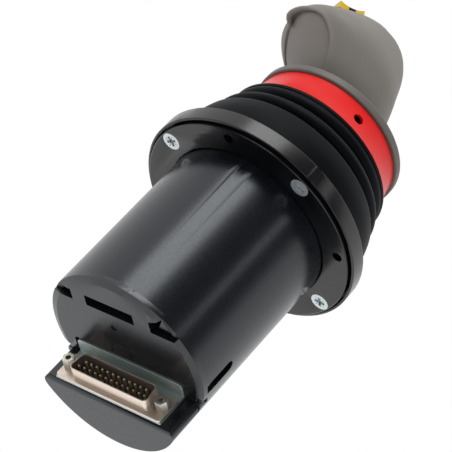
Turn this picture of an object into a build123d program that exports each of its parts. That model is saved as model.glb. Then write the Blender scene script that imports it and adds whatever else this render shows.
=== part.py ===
"""Panel joystick: two sprung tilt axes under a bellows, a palm grip that twists and a thumb rocker.

Frame, in millimetres: the origin is the centre of the flange plate's face that lies on the panel.
+Z runs up the stick to the grip, +Y is the way the D-sub connector faces, and +X is along its rows.
The tilt axes and the grip stand at 45 degrees to X and Y: "lateral" is the way the grip leans and
"forward" is the way the index mark of the bezel points.
"""
from build123d import *
from math import copysign, cos, pi, radians, sin, sqrt, tan
import os

os.makedirs("parts", exist_ok=True)

# ---------------------------------------------------------------- driving dimensions
# Flange plate, bezel and the screws on their common pitch circle
flange_width = 11.7
plate_thickness = 4.0
plate_edge = 0.3
pitch_inset = 4.5
mount_hole_radius = 2.25
flange_screw_radius = 2.0
flange_screw_head_radius = 4.1
flange_screw_short = 0.5
bezel_gap = 1.0
bezel_wall = 1.0
bezel_cover = 2.4
bezel_lip = 1.0
bezel_lip_reach = 5.5
index_width = 2.4
index_depth = 0.4

# Housing tube and its end cap
housing_radius = 37.7
housing_draft = 0.4
housing_wall = 2.5
housing_bore_gap = 0.6
housing_lip_width = 2.8
housing_lip_thickness = 2.0
face_z = -80.2
cap_thickness = 3.0
cap_edge = 0.8
cap_inset = 0.7
cap_spigot = 6.0
cap_spigot_wall = 1.75
cap_fit = 0.15
side_slot_length = 16.5
side_slot_width = 5.0
side_slot_above_face = 10.2
side_slot_drop = 11.0

# Slots and marks of the end face
face_slot_y = 20.0
face_slot_height = 5.5
middle_slot = (-8.0, 16.0)
right_slot_reach = 20.6
left_slot_reach = 13.6
gate_mark = (4.0, 10.0)
gate_mark_radius = 1.5
ejector_mark = (3.5, -3.5)
ejector_mark_radius = 5.0
mark_depth = 0.5

# Connector shelf under the end face
shelf_depth = 18.2
shelf_reach = 25.0
shelf_lip_height = 1.5
shelf_lip_width = 1.2
shelf_wall = 2.5
shelf_corner = 3.0

# D-sub connector with 25 contacts, male
contact_margin = 2.86
row_spacing = 2.84
contact_radius = 0.5
connector_length = 53.04
connector_height = 12.55
connector_flange = 1.1
connector_from_face = 10.7
shell_end_margin = 7.04
shell_side_margin = 2.095
shell_rise = 5.9
shell_wall = 0.5
shell_slope = 10.0
shell_corner = 1.8
contact_rise = 5.4
insulator_recess = 4.6
insulator_depth = 5.5
jack_inset = 3.0
jack_across_flats = 4.75
jack_height = 5.0
jack_thread_radius = 1.15
jack_shank_radius = 1.4
jack_nut_height = 2.2
jack_hole_gap = 0.1
nut_pocket_gap = 0.2
opening_gap = 1.0
bracket_thickness = 1.2
bracket_rise = 7.8
bracket_recess = 1.0
bracket_margin = 1.2

# Gimbal: pivot, frame, ring, pins and springs
grip_yaw = 45.0
pivot_rise = 8.0
standoff_seat = 3.0
frame_rim_gap = 1.25
frame_hoop_thickness = 4.0
frame_flange_thickness = 3.0
post_step = 2.0
post_depth = 7.0
post_width = 16.0
post_above_pivot = 6.5
post_corner = 5.8
pin_radius = 3.0
running_gap = 0.03
bush_wall = 1.5
bush_flange = 1.0
ring_wall = 7.0
ring_height = 12.0
hub_wall = 2.5
hub_boss_wall = 3.0
hub_boss_floor = 2.0
tube_seat_depth = 5.0
spring_boss_radius = 4.0
spring_gap = 0.3
tilt_spring_wire = 1.2
tilt_spring_turns = 4
spring_pitch_share = 1.15
spring_end_gap = 0.4

# Stick: tube, bushes, stem and tilt magnet
tube_wall = 1.5
spindle_radius = 5.0
spindle_bore = 3.0
bush_length = 6.0
clip_thickness = 1.2
stem_radius = 4.0
stem_length = 24.0
magnet_radius = 4.0
magnet_thickness = 3.0
magnet_wall = 2.0

# Red collar and the twist housing inside it
collar_bottom = 43.6
collar_height = 14.5
collar_bottom_radius = 39.6
collar_top_radius = 35.1
collar_waist = 0.9
collar_wall = 3.1
collar_floor = 3.0
collar_floor_bore = 18.0
collar_spigot_step = 3.3
collar_spigot_wall = 2.8
collar_spigot_height = 3.2
collar_hole_radius = 2.45
collar_hole_rise = 7.9
collar_hole_count = 3
grub_length = 4.0
grub_socket = 1.25
twist_wall = 3.0
twist_floor = 3.4
twist_boss_wall = 4.9
twist_spring_wire = 1.6
twist_spring_turns = 3
twist_board_thickness = 1.2
twist_magnet_gap = 4.7
twist_magnet_width = 5.0
twist_magnet_thickness = 2.6

# Bellows: evenly spaced folds that narrow from the bezel up to the collar
bellows_wall = 1.2
bellows_foot = 1.0
bellows_folds = 3
bellows_first_share = 0.27
bellows_fold_share = 0.258
bellows_bulge = 0.8
bellows_valley_depth = 3.4
bellows_cuff_proud = 0.2
bellows_cuff_height = 4.0
bellows_cuff_fit = 0.1
soft_gap = 0.3

# Grip: skirt, hollow palm shell, inset thumb panel
skirt_gap = 0.5
thrust_gap = 0.1
skirt_overhang = 1.3
skirt_thickness = 4.0
skirt_edge = 1.2
spindle_flange_radius = 11.2
spindle_flange_thickness = 3.0
grip_wall = 4.0
oval_power = 0.9
panel_inset = 2.0
panel_fit = 0.1
panel_yaw = 75.0
panel_side = -10.2
panel_rise = 15.7
panel_radius = 12.7
panel_reach = 8.0
# Sections of the grip: height above the skirt's top, rear and front reach along lateral, half width
grip_sections = (
    (0.0, -22.6, 18.0, 16.0),
    (5.0, -20.9, 21.0, 17.2),
    (10.0, -19.0, 27.0, 19.9),
    (15.0, -17.2, 33.6, 23.1),
    (20.0, -15.4, 39.5, 25.7),
    (25.0, -13.6, 44.9, 27.8),
    (30.0, -11.8, 47.6, 27.8),
    (35.0, -10.2, 43.8, 26.0),
    (40.0, -8.0, 36.8, 23.6),
    (44.0, -4.9, 31.6, 21.6),
    (47.0, -0.2, 26.6, 18.6),
    (48.6, 5.4, 20.0, 12.6),
)

# Thumb rocker
rocker_lateral = 31.0
rocker_forward = 10.5
rocker_height = 42.6
rocker_slope = 29.0
rocker_length = 12.4
rocker_width = 7.2
rocker_rise = 3.0
rocker_dip = 1.5
rocker_gap = 0.8
rocker_side_gap = 0.3
rocker_pivot_depth = 3.0
rocker_pin_radius = 1.0
rocker_belly = 3.0
rocker_crown = 1.0
rocker_travel = 10.0
rocker_frame_wall = 1.4
rocker_frame_rise = 0.6
rocker_frame_depth = 8.0
switch_height = 7.0
plunger_radius = 1.2
plunger_reach = 4.2
plunger_gap = 0.2

# Boards, standoffs and the ribbon to the connector
board_gap = 0.8
board_thickness = 1.6
sensor_gap = 4.9
board_spacing = 25.0
standoff_inset = 3.5
standoff_across_flats = 5.0
board_screw_radius = 1.5
board_screw_head_radius = 2.8
board_screw_head_height = 1.8
board_screw_length = 5.0
frame_stud_length = 3.0
ribbon_thickness = 0.9
ribbon_reach = 7.5
ribbon_bend = 5.0
header_screw_gap = 1.2
header_width = 5.0
header_height = 6.0
hall_chip_length = 6.0
hall_chip_width = 5.0
hall_chip_height = 1.5
# Parts on the main board: place across and along it, length, width
board_chips = ((-12.0, 8.0, 10.0, 10.0), (10.0, 10.0, 8.0, 5.0), (12.0, -4.0, 7.0, 7.0))
board_chip_height = 4.0

# ---------------------------------------------------------------- values that follow
lateral = Vector(cos(radians(grip_yaw)), sin(radians(grip_yaw)), 0)
forward = Vector(-sin(radians(grip_yaw)), cos(radians(grip_yaw)), 0)
up = Vector(0, 0, 1)
# Flange, bezel and housing
plate_bore = housing_radius + housing_bore_gap
plate_radius = plate_bore + flange_width
pitch_radius = plate_radius - pitch_inset
bezel_radius = plate_radius + bezel_gap + bezel_wall
bezel_bottom = plate_thickness - bezel_cover
frame_underside = plate_thickness + housing_lip_thickness
flange_top = plate_thickness + frame_flange_thickness
frame_top = frame_underside + frame_hoop_thickness
flange_screw_length = flange_top - flange_screw_short
bellows_foot_top = flange_top + bellows_foot
bezel_top = bellows_foot_top + bezel_lip
housing_foot_radius = housing_radius - housing_draft
housing_bore = housing_foot_radius - housing_wall
housing_end = face_z + cap_thickness
# End cap and connector
cap_radius = housing_foot_radius - cap_inset
spigot_bore = housing_bore - cap_fit - cap_spigot_wall
shelf_lip_y = shelf_reach - housing_foot_radius
shelf_y = shelf_lip_y - shelf_lip_height
shelf_end = face_z - shelf_depth
connector_z = face_z - connector_from_face
flange_y = shelf_y + bracket_thickness + connector_flange
bracket_top_y = shelf_y + bracket_rise
jack_spacing = connector_length - 2 * jack_inset
shell_length = connector_length - 2 * shell_end_margin
shell_height = connector_height - 2 * shell_side_margin
row_pitch = (shell_length - 2 * contact_margin) / 12
insulator_back = flange_y - connector_flange - insulator_depth
# Boards
board_radius = housing_bore - board_gap
standoff_circle = board_radius - standoff_inset
standoff_angles = [90 * i + grip_yaw for i in range(4)]
standoff_spots = [(standoff_circle * cos(radians(a)), standoff_circle * sin(radians(a)))
                  for a in standoff_angles]
ribbon_width = 12 * row_pitch
header_length = 2 * (standoff_spots[0][0] - board_screw_head_radius - header_screw_gap)
ribbon_y = insulator_back - ribbon_reach
# Gimbal, from the posts inwards
pivot_z = frame_top + pivot_rise
frame_bore = standoff_circle - standoff_seat
frame_rim = pitch_radius - mount_hole_radius - frame_rim_gap
post_outer = frame_rim - post_step
post_inner = post_outer - post_depth
bush_radius = pin_radius + running_gap + bush_wall
bush_bore = pin_radius + running_gap
tilt_spring_length = tilt_spring_wire * (spring_pitch_share * tilt_spring_turns + 1)
boss_reach = post_inner - bush_flange - soft_gap
ring_radius = boss_reach - tilt_spring_length - 2 * spring_end_gap
ring_bore = ring_radius - ring_wall
ring_flat = ring_bore + bush_flange
hub_boss_reach = ring_flat - bush_flange - soft_gap
hub_width = 2 * (hub_boss_reach - tilt_spring_length - 2 * spring_end_gap)
# Stick
tube_bore = spindle_radius + bush_wall
tube_radius = tube_bore + tube_wall
hub_boss_radius = tube_radius + hub_boss_wall
spring_outer = spring_boss_radius + spring_gap + tilt_spring_wire
hub_height = 2 * (spring_outer + hub_wall)
hub_boss_bottom = pivot_z + spring_outer + spring_gap
tube_bottom = hub_boss_bottom + hub_boss_floor
hub_boss_top = tube_bottom + tube_seat_depth
stem_end = pivot_z - stem_length
magnet_cup_bottom = stem_end - magnet_thickness - magnet_wall
sensor_board_z = (magnet_cup_bottom - sensor_gap - hall_chip_height - board_thickness)
main_board_z = sensor_board_z - board_spacing
# Collar, twist housing and grip
collar_top = collar_bottom + collar_height
collar_bore = collar_top_radius - collar_wall
collar_spigot_radius = collar_bottom_radius - collar_spigot_step
collar_hole_z = collar_bottom + collar_hole_rise
skirt_bottom = collar_top + skirt_gap
skirt_top = skirt_bottom + skirt_thickness
skirt_radius = collar_top_radius + skirt_overhang
twist_bottom = collar_bottom + collar_floor
twist_top = collar_top - skirt_gap
twist_radius = collar_bore - soft_gap
twist_boss_radius = tube_radius + twist_boss_wall
twist_boss_top = twist_bottom + twist_floor + bush_length
twist_magnet_outer = twist_radius - twist_wall - twist_magnet_gap
twist_magnet_inner = twist_magnet_outer - twist_magnet_width
tube_top = skirt_bottom - thrust_gap
clip_bottom = tube_bottom + clip_thickness
lower_bush = clip_bottom + clip_thickness + running_gap
# Bellows
base_radius = bezel_radius - bezel_lip_reach - soft_gap
cuff_radius = collar_bottom_radius + bellows_cuff_proud
cuff_top = collar_bottom - soft_gap
cuff_bottom = cuff_top - bellows_cuff_height


def level(z):
    """A horizontal plane whose x is lateral and whose y is forward."""
    return Plane(origin=(0, 0, z), x_dir=lateral, z_dir=up)


def across_lateral(reach, z):
    """A plane square to the lateral axis, at this reach along it; its y is up."""
    return Plane(origin=lateral * reach + up * z, x_dir=forward, z_dir=lateral)


def across_forward(reach, z):
    """A plane square to the forward axis, at this reach along it; its y is up."""
    return Plane(origin=forward * reach + up * z, x_dir=-lateral, z_dir=forward)


def save(builder, name):
    """Label a finished piece and write it to its own file."""
    builder.part.label = name
    export_step(builder.part, f"parts/{name}.step")


# ---------------------------------------------------------------- flange plate and bezel
with BuildPart() as flange_plate:
    with BuildSketch():
        Circle(plate_radius)
        Circle(plate_bore, mode=Mode.SUBTRACT)
    extrude(amount=plate_thickness)
    chamfer(flange_plate.edges().group_by(Axis.Z)[0].sort_by(SortBy.RADIUS)[-1], plate_edge)
    with Locations(Plane(origin=(0, 0, 0), z_dir=(0, 0, -1))):
        with PolarLocations(pitch_radius, 4):
            Hole(mount_hole_radius)
        with PolarLocations(pitch_radius, 4, start_angle=45):
            CounterSinkHole(flange_screw_radius, flange_screw_head_radius,
                            counter_sink_angle=90)
save(flange_plate, "flange_plate")

head_drop = flange_screw_head_radius - flange_screw_radius
with BuildPart() as flange_screws:
    with PolarLocations(pitch_radius, 4, start_angle=45):
        with Locations((0, 0, head_drop / 2)):
            Cone(flange_screw_head_radius, flange_screw_radius, head_drop)
        Cylinder(flange_screw_radius, flange_screw_length,
                 align=(Align.CENTER, Align.CENTER, Align.MIN))
    with BuildSketch(Plane.XY):
        with PolarLocations(pitch_radius, 4, start_angle=45):
            Rectangle(flange_screw_head_radius * 1.1, flange_screw_radius * 0.4)
            Rectangle(flange_screw_radius * 0.4, flange_screw_head_radius * 1.1)
    extrude(amount=head_drop * 0.6, mode=Mode.SUBTRACT)
save(flange_screws, "flange_screws")

with BuildPart() as bezel_ring:
    with BuildSketch(Plane.XZ):
        with BuildLine():
            Polyline(
                (bezel_radius, bezel_bottom), (bezel_radius, bezel_top),
                (bezel_radius - bezel_lip_reach, bezel_top),
                (bezel_radius - bezel_lip_reach, bezel_top - bezel_lip),
                (bezel_radius - bezel_wall, bezel_top - bezel_lip),
                (bezel_radius - bezel_wall, bezel_bottom), close=True)
        make_face()
    revolve(axis=Axis.Z)
    outer_rims = bezel_ring.edges().filter_by(
        lambda e: e.geom_type == GeomType.CIRCLE and abs(e.radius - bezel_radius) < 0.01)
    fillet(outer_rims, bezel_wall * 0.4)
    with BuildSketch(across_forward(bezel_radius - index_depth, 0)):
        Rectangle(index_width, 3 * bezel_top)
    extrude(amount=bezel_wall + index_depth, mode=Mode.SUBTRACT)
save(bezel_ring, "bezel_ring")

# ---------------------------------------------------------------- housing tube
with BuildPart() as housing:
    with BuildSketch(Plane.XZ):
        with BuildLine():
            Polyline(
                (housing_bore, housing_end), (housing_foot_radius, housing_end),
                (housing_radius, 0), (housing_radius, plate_thickness),
                (housing_radius + housing_lip_width, plate_thickness),
                (housing_radius + housing_lip_width, frame_underside),
                (housing_bore, frame_underside), close=True)
        make_face()
    revolve(axis=Axis.Z)
    # An upright slot low on each side, for the snaps of the end cap
    slot_plane = Plane(origin=(0, -sin(radians(side_slot_drop)) * housing_foot_radius,
                               face_z + side_slot_above_face), x_dir=(0, 0, 1), z_dir=(1, 0, 0))
    with BuildSketch(slot_plane):
        SlotOverall(side_slot_length, side_slot_width)
    extrude(amount=2 * housing_radius, both=True, mode=Mode.SUBTRACT)
save(housing, "housing")

# ---------------------------------------------------------------- end cap with its connector shelf
recess_width = connector_length + 2 * bracket_margin
recess_top_y = bracket_top_y + bracket_margin
with BuildPart() as end_cap:
    with BuildSketch(Plane.XY.offset(face_z)):
        Circle(cap_radius)
    extrude(amount=cap_thickness)
    chamfer(end_cap.edges().group_by(Axis.Z)[0], cap_edge)
    with BuildSketch(Plane.XY.offset(housing_end)):
        Circle(housing_bore - cap_fit)
        Circle(spigot_bore, mode=Mode.SUBTRACT)
    extrude(amount=cap_spigot)
    # The shelf is a segment of the housing's own round, walled and hollow below
    with BuildSketch(Plane.XY.offset(shelf_end)) as shelf_outline:
        Circle(housing_foot_radius)
        with Locations((0, shelf_lip_y)):
            Rectangle(3 * housing_radius, 3 * housing_radius, align=(Align.CENTER, Align.MIN),
                      mode=Mode.SUBTRACT)
        fillet(shelf_outline.vertices(), shelf_corner)
    extrude(amount=shelf_depth + cap_thickness)
    with BuildSketch(Plane.XY.offset(shelf_end + shelf_lip_width)):
        with Locations((0, shelf_y)):
            Rectangle(2 * (sqrt(housing_foot_radius**2 - shelf_y**2) - shelf_lip_width - 1),
                      2 * shelf_lip_height, align=(Align.CENTER, Align.MIN))
    extrude(amount=shelf_depth - shelf_lip_width, mode=Mode.SUBTRACT)
    with BuildSketch(Plane.XY.offset(shelf_end + shelf_wall)) as shelf_hollow:
        Circle(spigot_bore)
        with Locations((0, shelf_y - shelf_wall)):
            Rectangle(3 * housing_radius, 3 * housing_radius, align=(Align.CENTER, Align.MIN),
                      mode=Mode.SUBTRACT)
        fillet(shelf_hollow.vertices(), shelf_corner * 0.5)
    extrude(amount=shelf_depth + cap_thickness, mode=Mode.SUBTRACT)
    # Opening in the shelf for the back of the connector, and two holes for its jackscrews
    with BuildSketch(Plane(origin=(0, shelf_y, connector_z), x_dir=(1, 0, 0), z_dir=(0, -1, 0))):
        Rectangle(shell_length + 2 * opening_gap, shell_height + opening_gap)
        with GridLocations(jack_spacing, 1, 2, 1):
            Circle(jack_shank_radius + 2 * jack_hole_gap)
    extrude(amount=shelf_wall, mode=Mode.SUBTRACT)
    # Room behind the shelf for the two nuts
    with BuildSketch(Plane(origin=(0, shelf_y - shelf_wall, connector_z), x_dir=(1, 0, 0),
                           z_dir=(0, -1, 0))):
        with GridLocations(jack_spacing, 1, 2, 1):
            Circle(jack_across_flats / sqrt(3) + nut_pocket_gap)
    extrude(amount=jack_nut_height + nut_pocket_gap, mode=Mode.SUBTRACT)
    # Shallow recess for the upright leg of the bracket
    with BuildSketch(Plane.XY.offset(face_z)) as leg_recess:
        with Locations((0, shelf_y)):
            Rectangle(recess_width, recess_top_y - shelf_y, align=(Align.CENTER, Align.MIN))
        fillet(leg_recess.vertices().group_by(Axis.Y)[-1], 2)
    extrude(amount=bracket_recess, mode=Mode.SUBTRACT)
    # Three slots through the face, the outer two open at the rim
    with BuildSketch(Plane.XY.offset(face_z)):
        with Locations(((middle_slot[0] + middle_slot[1]) / 2, face_slot_y)):
            RectangleRounded(middle_slot[1] - middle_slot[0], face_slot_height, 0.6)
        with Locations((right_slot_reach - cap_radius, face_slot_y)):
            Rectangle(housing_radius, face_slot_height, align=(Align.MAX, Align.CENTER))
        with Locations((cap_radius - left_slot_reach, face_slot_y)):
            Rectangle(housing_radius, face_slot_height, align=(Align.MIN, Align.CENTER))
    extrude(amount=cap_thickness, mode=Mode.SUBTRACT)
    with BuildSketch(Plane.XY.offset(face_z)):
        with Locations(gate_mark):
            Circle(gate_mark_radius)
        with Locations(ejector_mark):
            Circle(ejector_mark_radius)
            Circle(ejector_mark_radius - 0.3, mode=Mode.SUBTRACT)
    extrude(amount=mark_depth, mode=Mode.SUBTRACT)
save(end_cap, "end_cap")

# ---------------------------------------------------------------- connector on its bracket
leg_face = face_z + bracket_recess - bracket_thickness
foot_end = connector_z - connector_height / 2


def connector_plane(y):
    """A plane square to +Y, centred on the connector; its x is -X and its y is +Z."""
    return Plane(origin=(0, y, connector_z), x_dir=(-1, 0, 0), z_dir=(0, 1, 0))


def shell_outline(grow):
    """The connector's D: its wide side towards -Z, drawn in a connector plane."""
    slope = shell_height / 2 * tan(radians(shell_slope))
    half = shell_length / 2 + grow
    rise = shell_height / 2 + grow
    with BuildSketch() as outline:
        with BuildLine():
            FilletPolyline(
                (half - slope * 2, rise), (-half + slope * 2, rise), (-half, -rise),
                (half, -rise), close=True, radius=shell_corner + grow)
        make_face()
    return outline.sketch


with BuildPart() as connector_bracket:
    with BuildSketch(connector_plane(shelf_y)):
        with Locations((0, -connector_height / 2)):
            Rectangle(connector_length, leg_face + bracket_thickness - foot_end,
                      align=(Align.CENTER, Align.MIN))
        Rectangle(shell_length + 2 * opening_gap, shell_height + opening_gap, mode=Mode.SUBTRACT)
        with GridLocations(jack_spacing, 1, 2, 1):
            Circle(jack_shank_radius + jack_hole_gap, mode=Mode.SUBTRACT)
    extrude(amount=bracket_thickness)
    with BuildSketch(Plane.XY.offset(leg_face)) as bracket_leg:
        with Locations((0, shelf_y)):
            Rectangle(connector_length, bracket_top_y - shelf_y, align=(Align.CENTER, Align.MIN))
        fillet(bracket_leg.vertices().group_by(Axis.Y)[-1], 2)
    extrude(amount=bracket_thickness)
save(connector_bracket, "connector_bracket")

with BuildPart() as connector_shell:
    with BuildSketch(connector_plane(flange_y - connector_flange)):
        RectangleRounded(connector_length, connector_height, 1.5)
        with GridLocations(jack_spacing, 1, 2, 1):
            Circle(jack_shank_radius + jack_hole_gap, mode=Mode.SUBTRACT)
    extrude(amount=connector_flange)
    with BuildSketch(connector_plane(flange_y)):
        add(shell_outline(shell_wall))
    extrude(amount=shell_rise)
    with BuildSketch(connector_plane(flange_y - connector_flange)):
        add(shell_outline(0))
    extrude(amount=shell_rise + connector_flange, mode=Mode.SUBTRACT)
save(connector_shell, "connector_shell")


def contact_places():
    """The two rows of contacts in a connector plane: thirteen on the wide side, twelve above."""
    wide = [((i - 6) * row_pitch, -row_spacing / 2) for i in range(13)]
    narrow = [((i - 5.5) * row_pitch, row_spacing / 2) for i in range(12)]
    return wide + narrow


with BuildPart() as connector_insulator:
    with BuildSketch(connector_plane(insulator_back)):
        add(shell_outline(-0.05))
    extrude(amount=insulator_depth + connector_flange + shell_rise - insulator_recess)
    with BuildSketch(connector_plane(insulator_back)):
        with Locations(*contact_places()):
            Circle(contact_radius)
    extrude(amount=insulator_depth + connector_flange + shell_rise, mode=Mode.SUBTRACT)
save(connector_insulator, "connector_insulator")

with BuildPart() as connector_contacts:
    with BuildSketch(connector_plane(insulator_back)):
        with Locations(*contact_places()):
            Circle(contact_radius)
    extrude(amount=flange_y + contact_rise - insulator_back)
    tips = connector_contacts.faces().filter_by(Axis.Y).group_by(Axis.Y)[-1].edges()
    chamfer(tips, contact_radius * 0.4)
save(connector_contacts, "connector_contacts")

with BuildPart() as connector_jackscrews:
    with BuildSketch(connector_plane(flange_y)):
        with GridLocations(jack_spacing, 1, 2, 1):
            RegularPolygon(jack_across_flats / 2, 6, major_radius=False)
    extrude(amount=jack_height)
    with BuildSketch(connector_plane(flange_y)):
        with GridLocations(jack_spacing, 1, 2, 1):
            Circle(jack_shank_radius)
    extrude(amount=-(flange_y - shelf_y + shelf_wall + jack_nut_height))
    with BuildSketch(connector_plane(flange_y + jack_height)):
        with GridLocations(jack_spacing, 1, 2, 1):
            Circle(jack_thread_radius)
    extrude(amount=-jack_height, mode=Mode.SUBTRACT)
save(connector_jackscrews, "connector_jackscrews")

with BuildPart() as connector_nuts:
    with BuildSketch(connector_plane(shelf_y - shelf_wall)):
        with GridLocations(jack_spacing, 1, 2, 1):
            RegularPolygon(jack_across_flats / 2, 6, major_radius=False)
            Circle(jack_shank_radius, mode=Mode.SUBTRACT)
    extrude(amount=-jack_nut_height)
save(connector_nuts, "connector_nuts")

# ---------------------------------------------------------------- gimbal frame on the plate
with BuildPart() as gimbal_frame:
    with BuildSketch(Plane.XZ):
        with BuildLine():
            Polyline(
                (frame_bore, frame_underside),
                (housing_radius + housing_lip_width + soft_gap, frame_underside),
                (housing_radius + housing_lip_width + soft_gap, plate_thickness),
                (plate_radius - soft_gap, plate_thickness), (plate_radius - soft_gap, flange_top),
                (frame_rim, flange_top), (frame_rim, frame_top),
                (frame_bore, frame_top), close=True)
        make_face()
    revolve(axis=Axis.Z)
    with BuildSketch(level(frame_underside)):
        with PolarLocations((post_inner + post_outer) / 2, 2):
            Rectangle(post_outer - post_inner, post_width)
    extrude(amount=pivot_z + post_above_pivot - frame_underside)
    post_tops = gimbal_frame.edges().group_by(Axis.Z)[-1].filter_by(
        lambda e: abs(e.tangent_at(0.5).dot(lateral)) > 0.9)
    fillet(post_tops, post_corner)
    with BuildSketch(across_lateral(0, pivot_z)):
        Circle(bush_radius)
    extrude(amount=frame_rim, both=True, mode=Mode.SUBTRACT)
    with Locations(Plane(origin=(0, 0, plate_thickness), z_dir=(0, 0, -1))):
        with PolarLocations(pitch_radius, 4):
            Hole(mount_hole_radius)
        with PolarLocations(pitch_radius, 4, start_angle=45):
            Hole(flange_screw_radius)
    with BuildSketch(Plane.XY.offset(frame_underside)):
        with Locations(*standoff_spots):
            Circle(board_screw_radius)
    extrude(amount=frame_stud_length, mode=Mode.SUBTRACT)
save(gimbal_frame, "gimbal_frame")


def bush_pair(plane_at, inner, outer):
    """Two flanged bushes, one at each end of a tilt axis, with their flanges inwards."""
    with BuildPart() as pair:
        for side in (1, -1):
            with BuildSketch(plane_at(side * inner, pivot_z)):
                Circle(bush_radius)
                Circle(bush_bore, mode=Mode.SUBTRACT)
            extrude(amount=side * (outer - inner))
            with BuildSketch(plane_at(side * inner, pivot_z)):
                Circle(bush_radius + bush_wall)
                Circle(bush_bore, mode=Mode.SUBTRACT)
            extrude(amount=-side * bush_flange)
    return pair.part


def coil_spring(plane, radius, wire, turns):
    """A close coil that winds up from this plane."""
    pitch = wire * spring_pitch_share
    with BuildPart() as spring:
        with BuildLine():
            coil = Helix(pitch, pitch * turns, radius, center=plane.origin, direction=plane.z_dir)
        with BuildSketch(Plane(origin=coil @ 0, z_dir=coil % 0)):
            Circle(wire / 2)
        sweep(path=coil)
    return spring.part


def tilt_spring(plane_at, start):
    """A close coil round the tilt axis, from this reach outwards."""
    radius = spring_boss_radius + spring_gap + tilt_spring_wire / 2
    first_turn = plane_at(start + spring_end_gap + tilt_spring_wire / 2, pivot_z)
    return coil_spring(first_turn, radius, tilt_spring_wire, tilt_spring_turns)


with BuildPart() as post_bushes:
    add(bush_pair(across_lateral, post_inner, post_outer))
save(post_bushes, "post_bushes")

with BuildPart() as lateral_spring:
    add(tilt_spring(across_lateral, ring_radius))
save(lateral_spring, "lateral_spring")

# ---------------------------------------------------------------- gimbal ring and its pins
with BuildPart() as gimbal_ring:
    with BuildSketch(level(pivot_z - ring_height / 2)):
        Circle(ring_radius)
    extrude(amount=ring_height)
    with BuildSketch(across_lateral(-boss_reach, pivot_z)):
        Circle(spring_boss_radius)
    extrude(amount=2 * boss_reach)
    with BuildSketch(level(pivot_z - ring_height / 2)):
        Circle(ring_bore)
    extrude(amount=ring_height, mode=Mode.SUBTRACT)
    with BuildSketch(across_forward(-ring_radius - 1, pivot_z)):
        Circle(bush_radius)
    extrude(amount=2 * ring_radius + 2, mode=Mode.SUBTRACT)
    with BuildSketch(across_lateral(-boss_reach - 1, pivot_z)):
        Circle(pin_radius)
    extrude(amount=2 * boss_reach + 2, mode=Mode.SUBTRACT)
    # Flats on the bore give the flanges of the inner bushes a square seat
    with BuildSketch(level(pivot_z - ring_height / 2)):
        Rectangle(2 * (bush_radius + bush_wall + 1), 2 * (ring_bore + bush_flange))
    extrude(amount=ring_height, mode=Mode.SUBTRACT)
save(gimbal_ring, "gimbal_ring")

with BuildPart() as ring_pins:
    for side in (1, -1):
        with BuildSketch(across_lateral(side * ring_bore, pivot_z)):
            Circle(pin_radius)
        extrude(amount=side * (post_outer - ring_bore))
save(ring_pins, "ring_pins")

with BuildPart() as ring_bushes:
    add(bush_pair(across_forward, ring_flat, ring_radius))
save(ring_bushes, "ring_bushes")

# ---------------------------------------------------------------- stick hub, axle, stem and magnet
with BuildPart() as stick_hub:
    with BuildSketch(level(pivot_z - hub_height / 2)):
        Rectangle(hub_width, hub_width)
    extrude(amount=hub_height)
    with BuildSketch(level(hub_boss_bottom)):
        Circle(hub_boss_radius)
    extrude(amount=hub_boss_top - hub_boss_bottom)
    with BuildSketch(across_forward(-hub_boss_reach, pivot_z)):
        Circle(spring_boss_radius)
    extrude(amount=2 * hub_boss_reach)
    with BuildSketch(level(pivot_z - hub_height / 2)):
        Circle(stem_radius)
    extrude(amount=stem_end - (pivot_z - hub_height / 2))
    with BuildSketch(across_forward(-hub_boss_reach - 1, pivot_z)):
        Circle(pin_radius)
    extrude(amount=2 * hub_boss_reach + 2, mode=Mode.SUBTRACT)
    with BuildSketch(level(tube_bottom)):
        Circle(tube_radius)
    extrude(amount=tube_seat_depth, mode=Mode.SUBTRACT)
save(stick_hub, "stick_hub")

with BuildPart() as stick_axle:
    with BuildSketch(across_forward(-ring_radius, pivot_z)):
        Circle(pin_radius)
    extrude(amount=2 * ring_radius)
save(stick_axle, "stick_axle")

with BuildPart() as forward_spring:
    add(tilt_spring(across_forward, hub_width / 2))
save(forward_spring, "forward_spring")

with BuildPart() as magnet_holder:
    with BuildSketch(level(magnet_cup_bottom)):
        Circle(magnet_radius + magnet_wall)
    extrude(amount=magnet_thickness + 2 * magnet_wall + stem_radius)
    with BuildSketch(level(magnet_cup_bottom)):
        Circle(magnet_radius)
    extrude(amount=magnet_thickness, mode=Mode.SUBTRACT)
    with BuildSketch(level(stem_end)):
        Circle(stem_radius)
    extrude(amount=magnet_wall + stem_radius, mode=Mode.SUBTRACT)
save(magnet_holder, "magnet_holder")

with BuildPart() as tilt_magnet:
    with BuildSketch(level(magnet_cup_bottom)):
        Circle(magnet_radius)
    extrude(amount=magnet_thickness)
save(tilt_magnet, "tilt_magnet")

with BuildPart() as stick_tube:
    with BuildSketch(level(tube_bottom)):
        Circle(tube_radius)
        Circle(tube_bore, mode=Mode.SUBTRACT)
    extrude(amount=tube_top - tube_bottom)
save(stick_tube, "stick_tube")

with BuildPart() as spindle_bushes:
    for bottom in (lower_bush, tube_top - bush_length):
        with BuildSketch(level(bottom)):
            Circle(tube_bore)
            Circle(spindle_radius + running_gap, mode=Mode.SUBTRACT)
        extrude(amount=bush_length)
save(spindle_bushes, "spindle_bushes")

# ---------------------------------------------------------------- red collar and twist housing
hole_angles = [135 + i * 360 / collar_hole_count for i in range(collar_hole_count)]


def radial_plane(angle, reach, z):
    """A plane square to the radius at this angle, at this distance from the stick."""
    way = Vector(cos(radians(angle)), sin(radians(angle)), 0)
    return Plane(origin=way * reach + up * z, z_dir=way)


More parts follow.
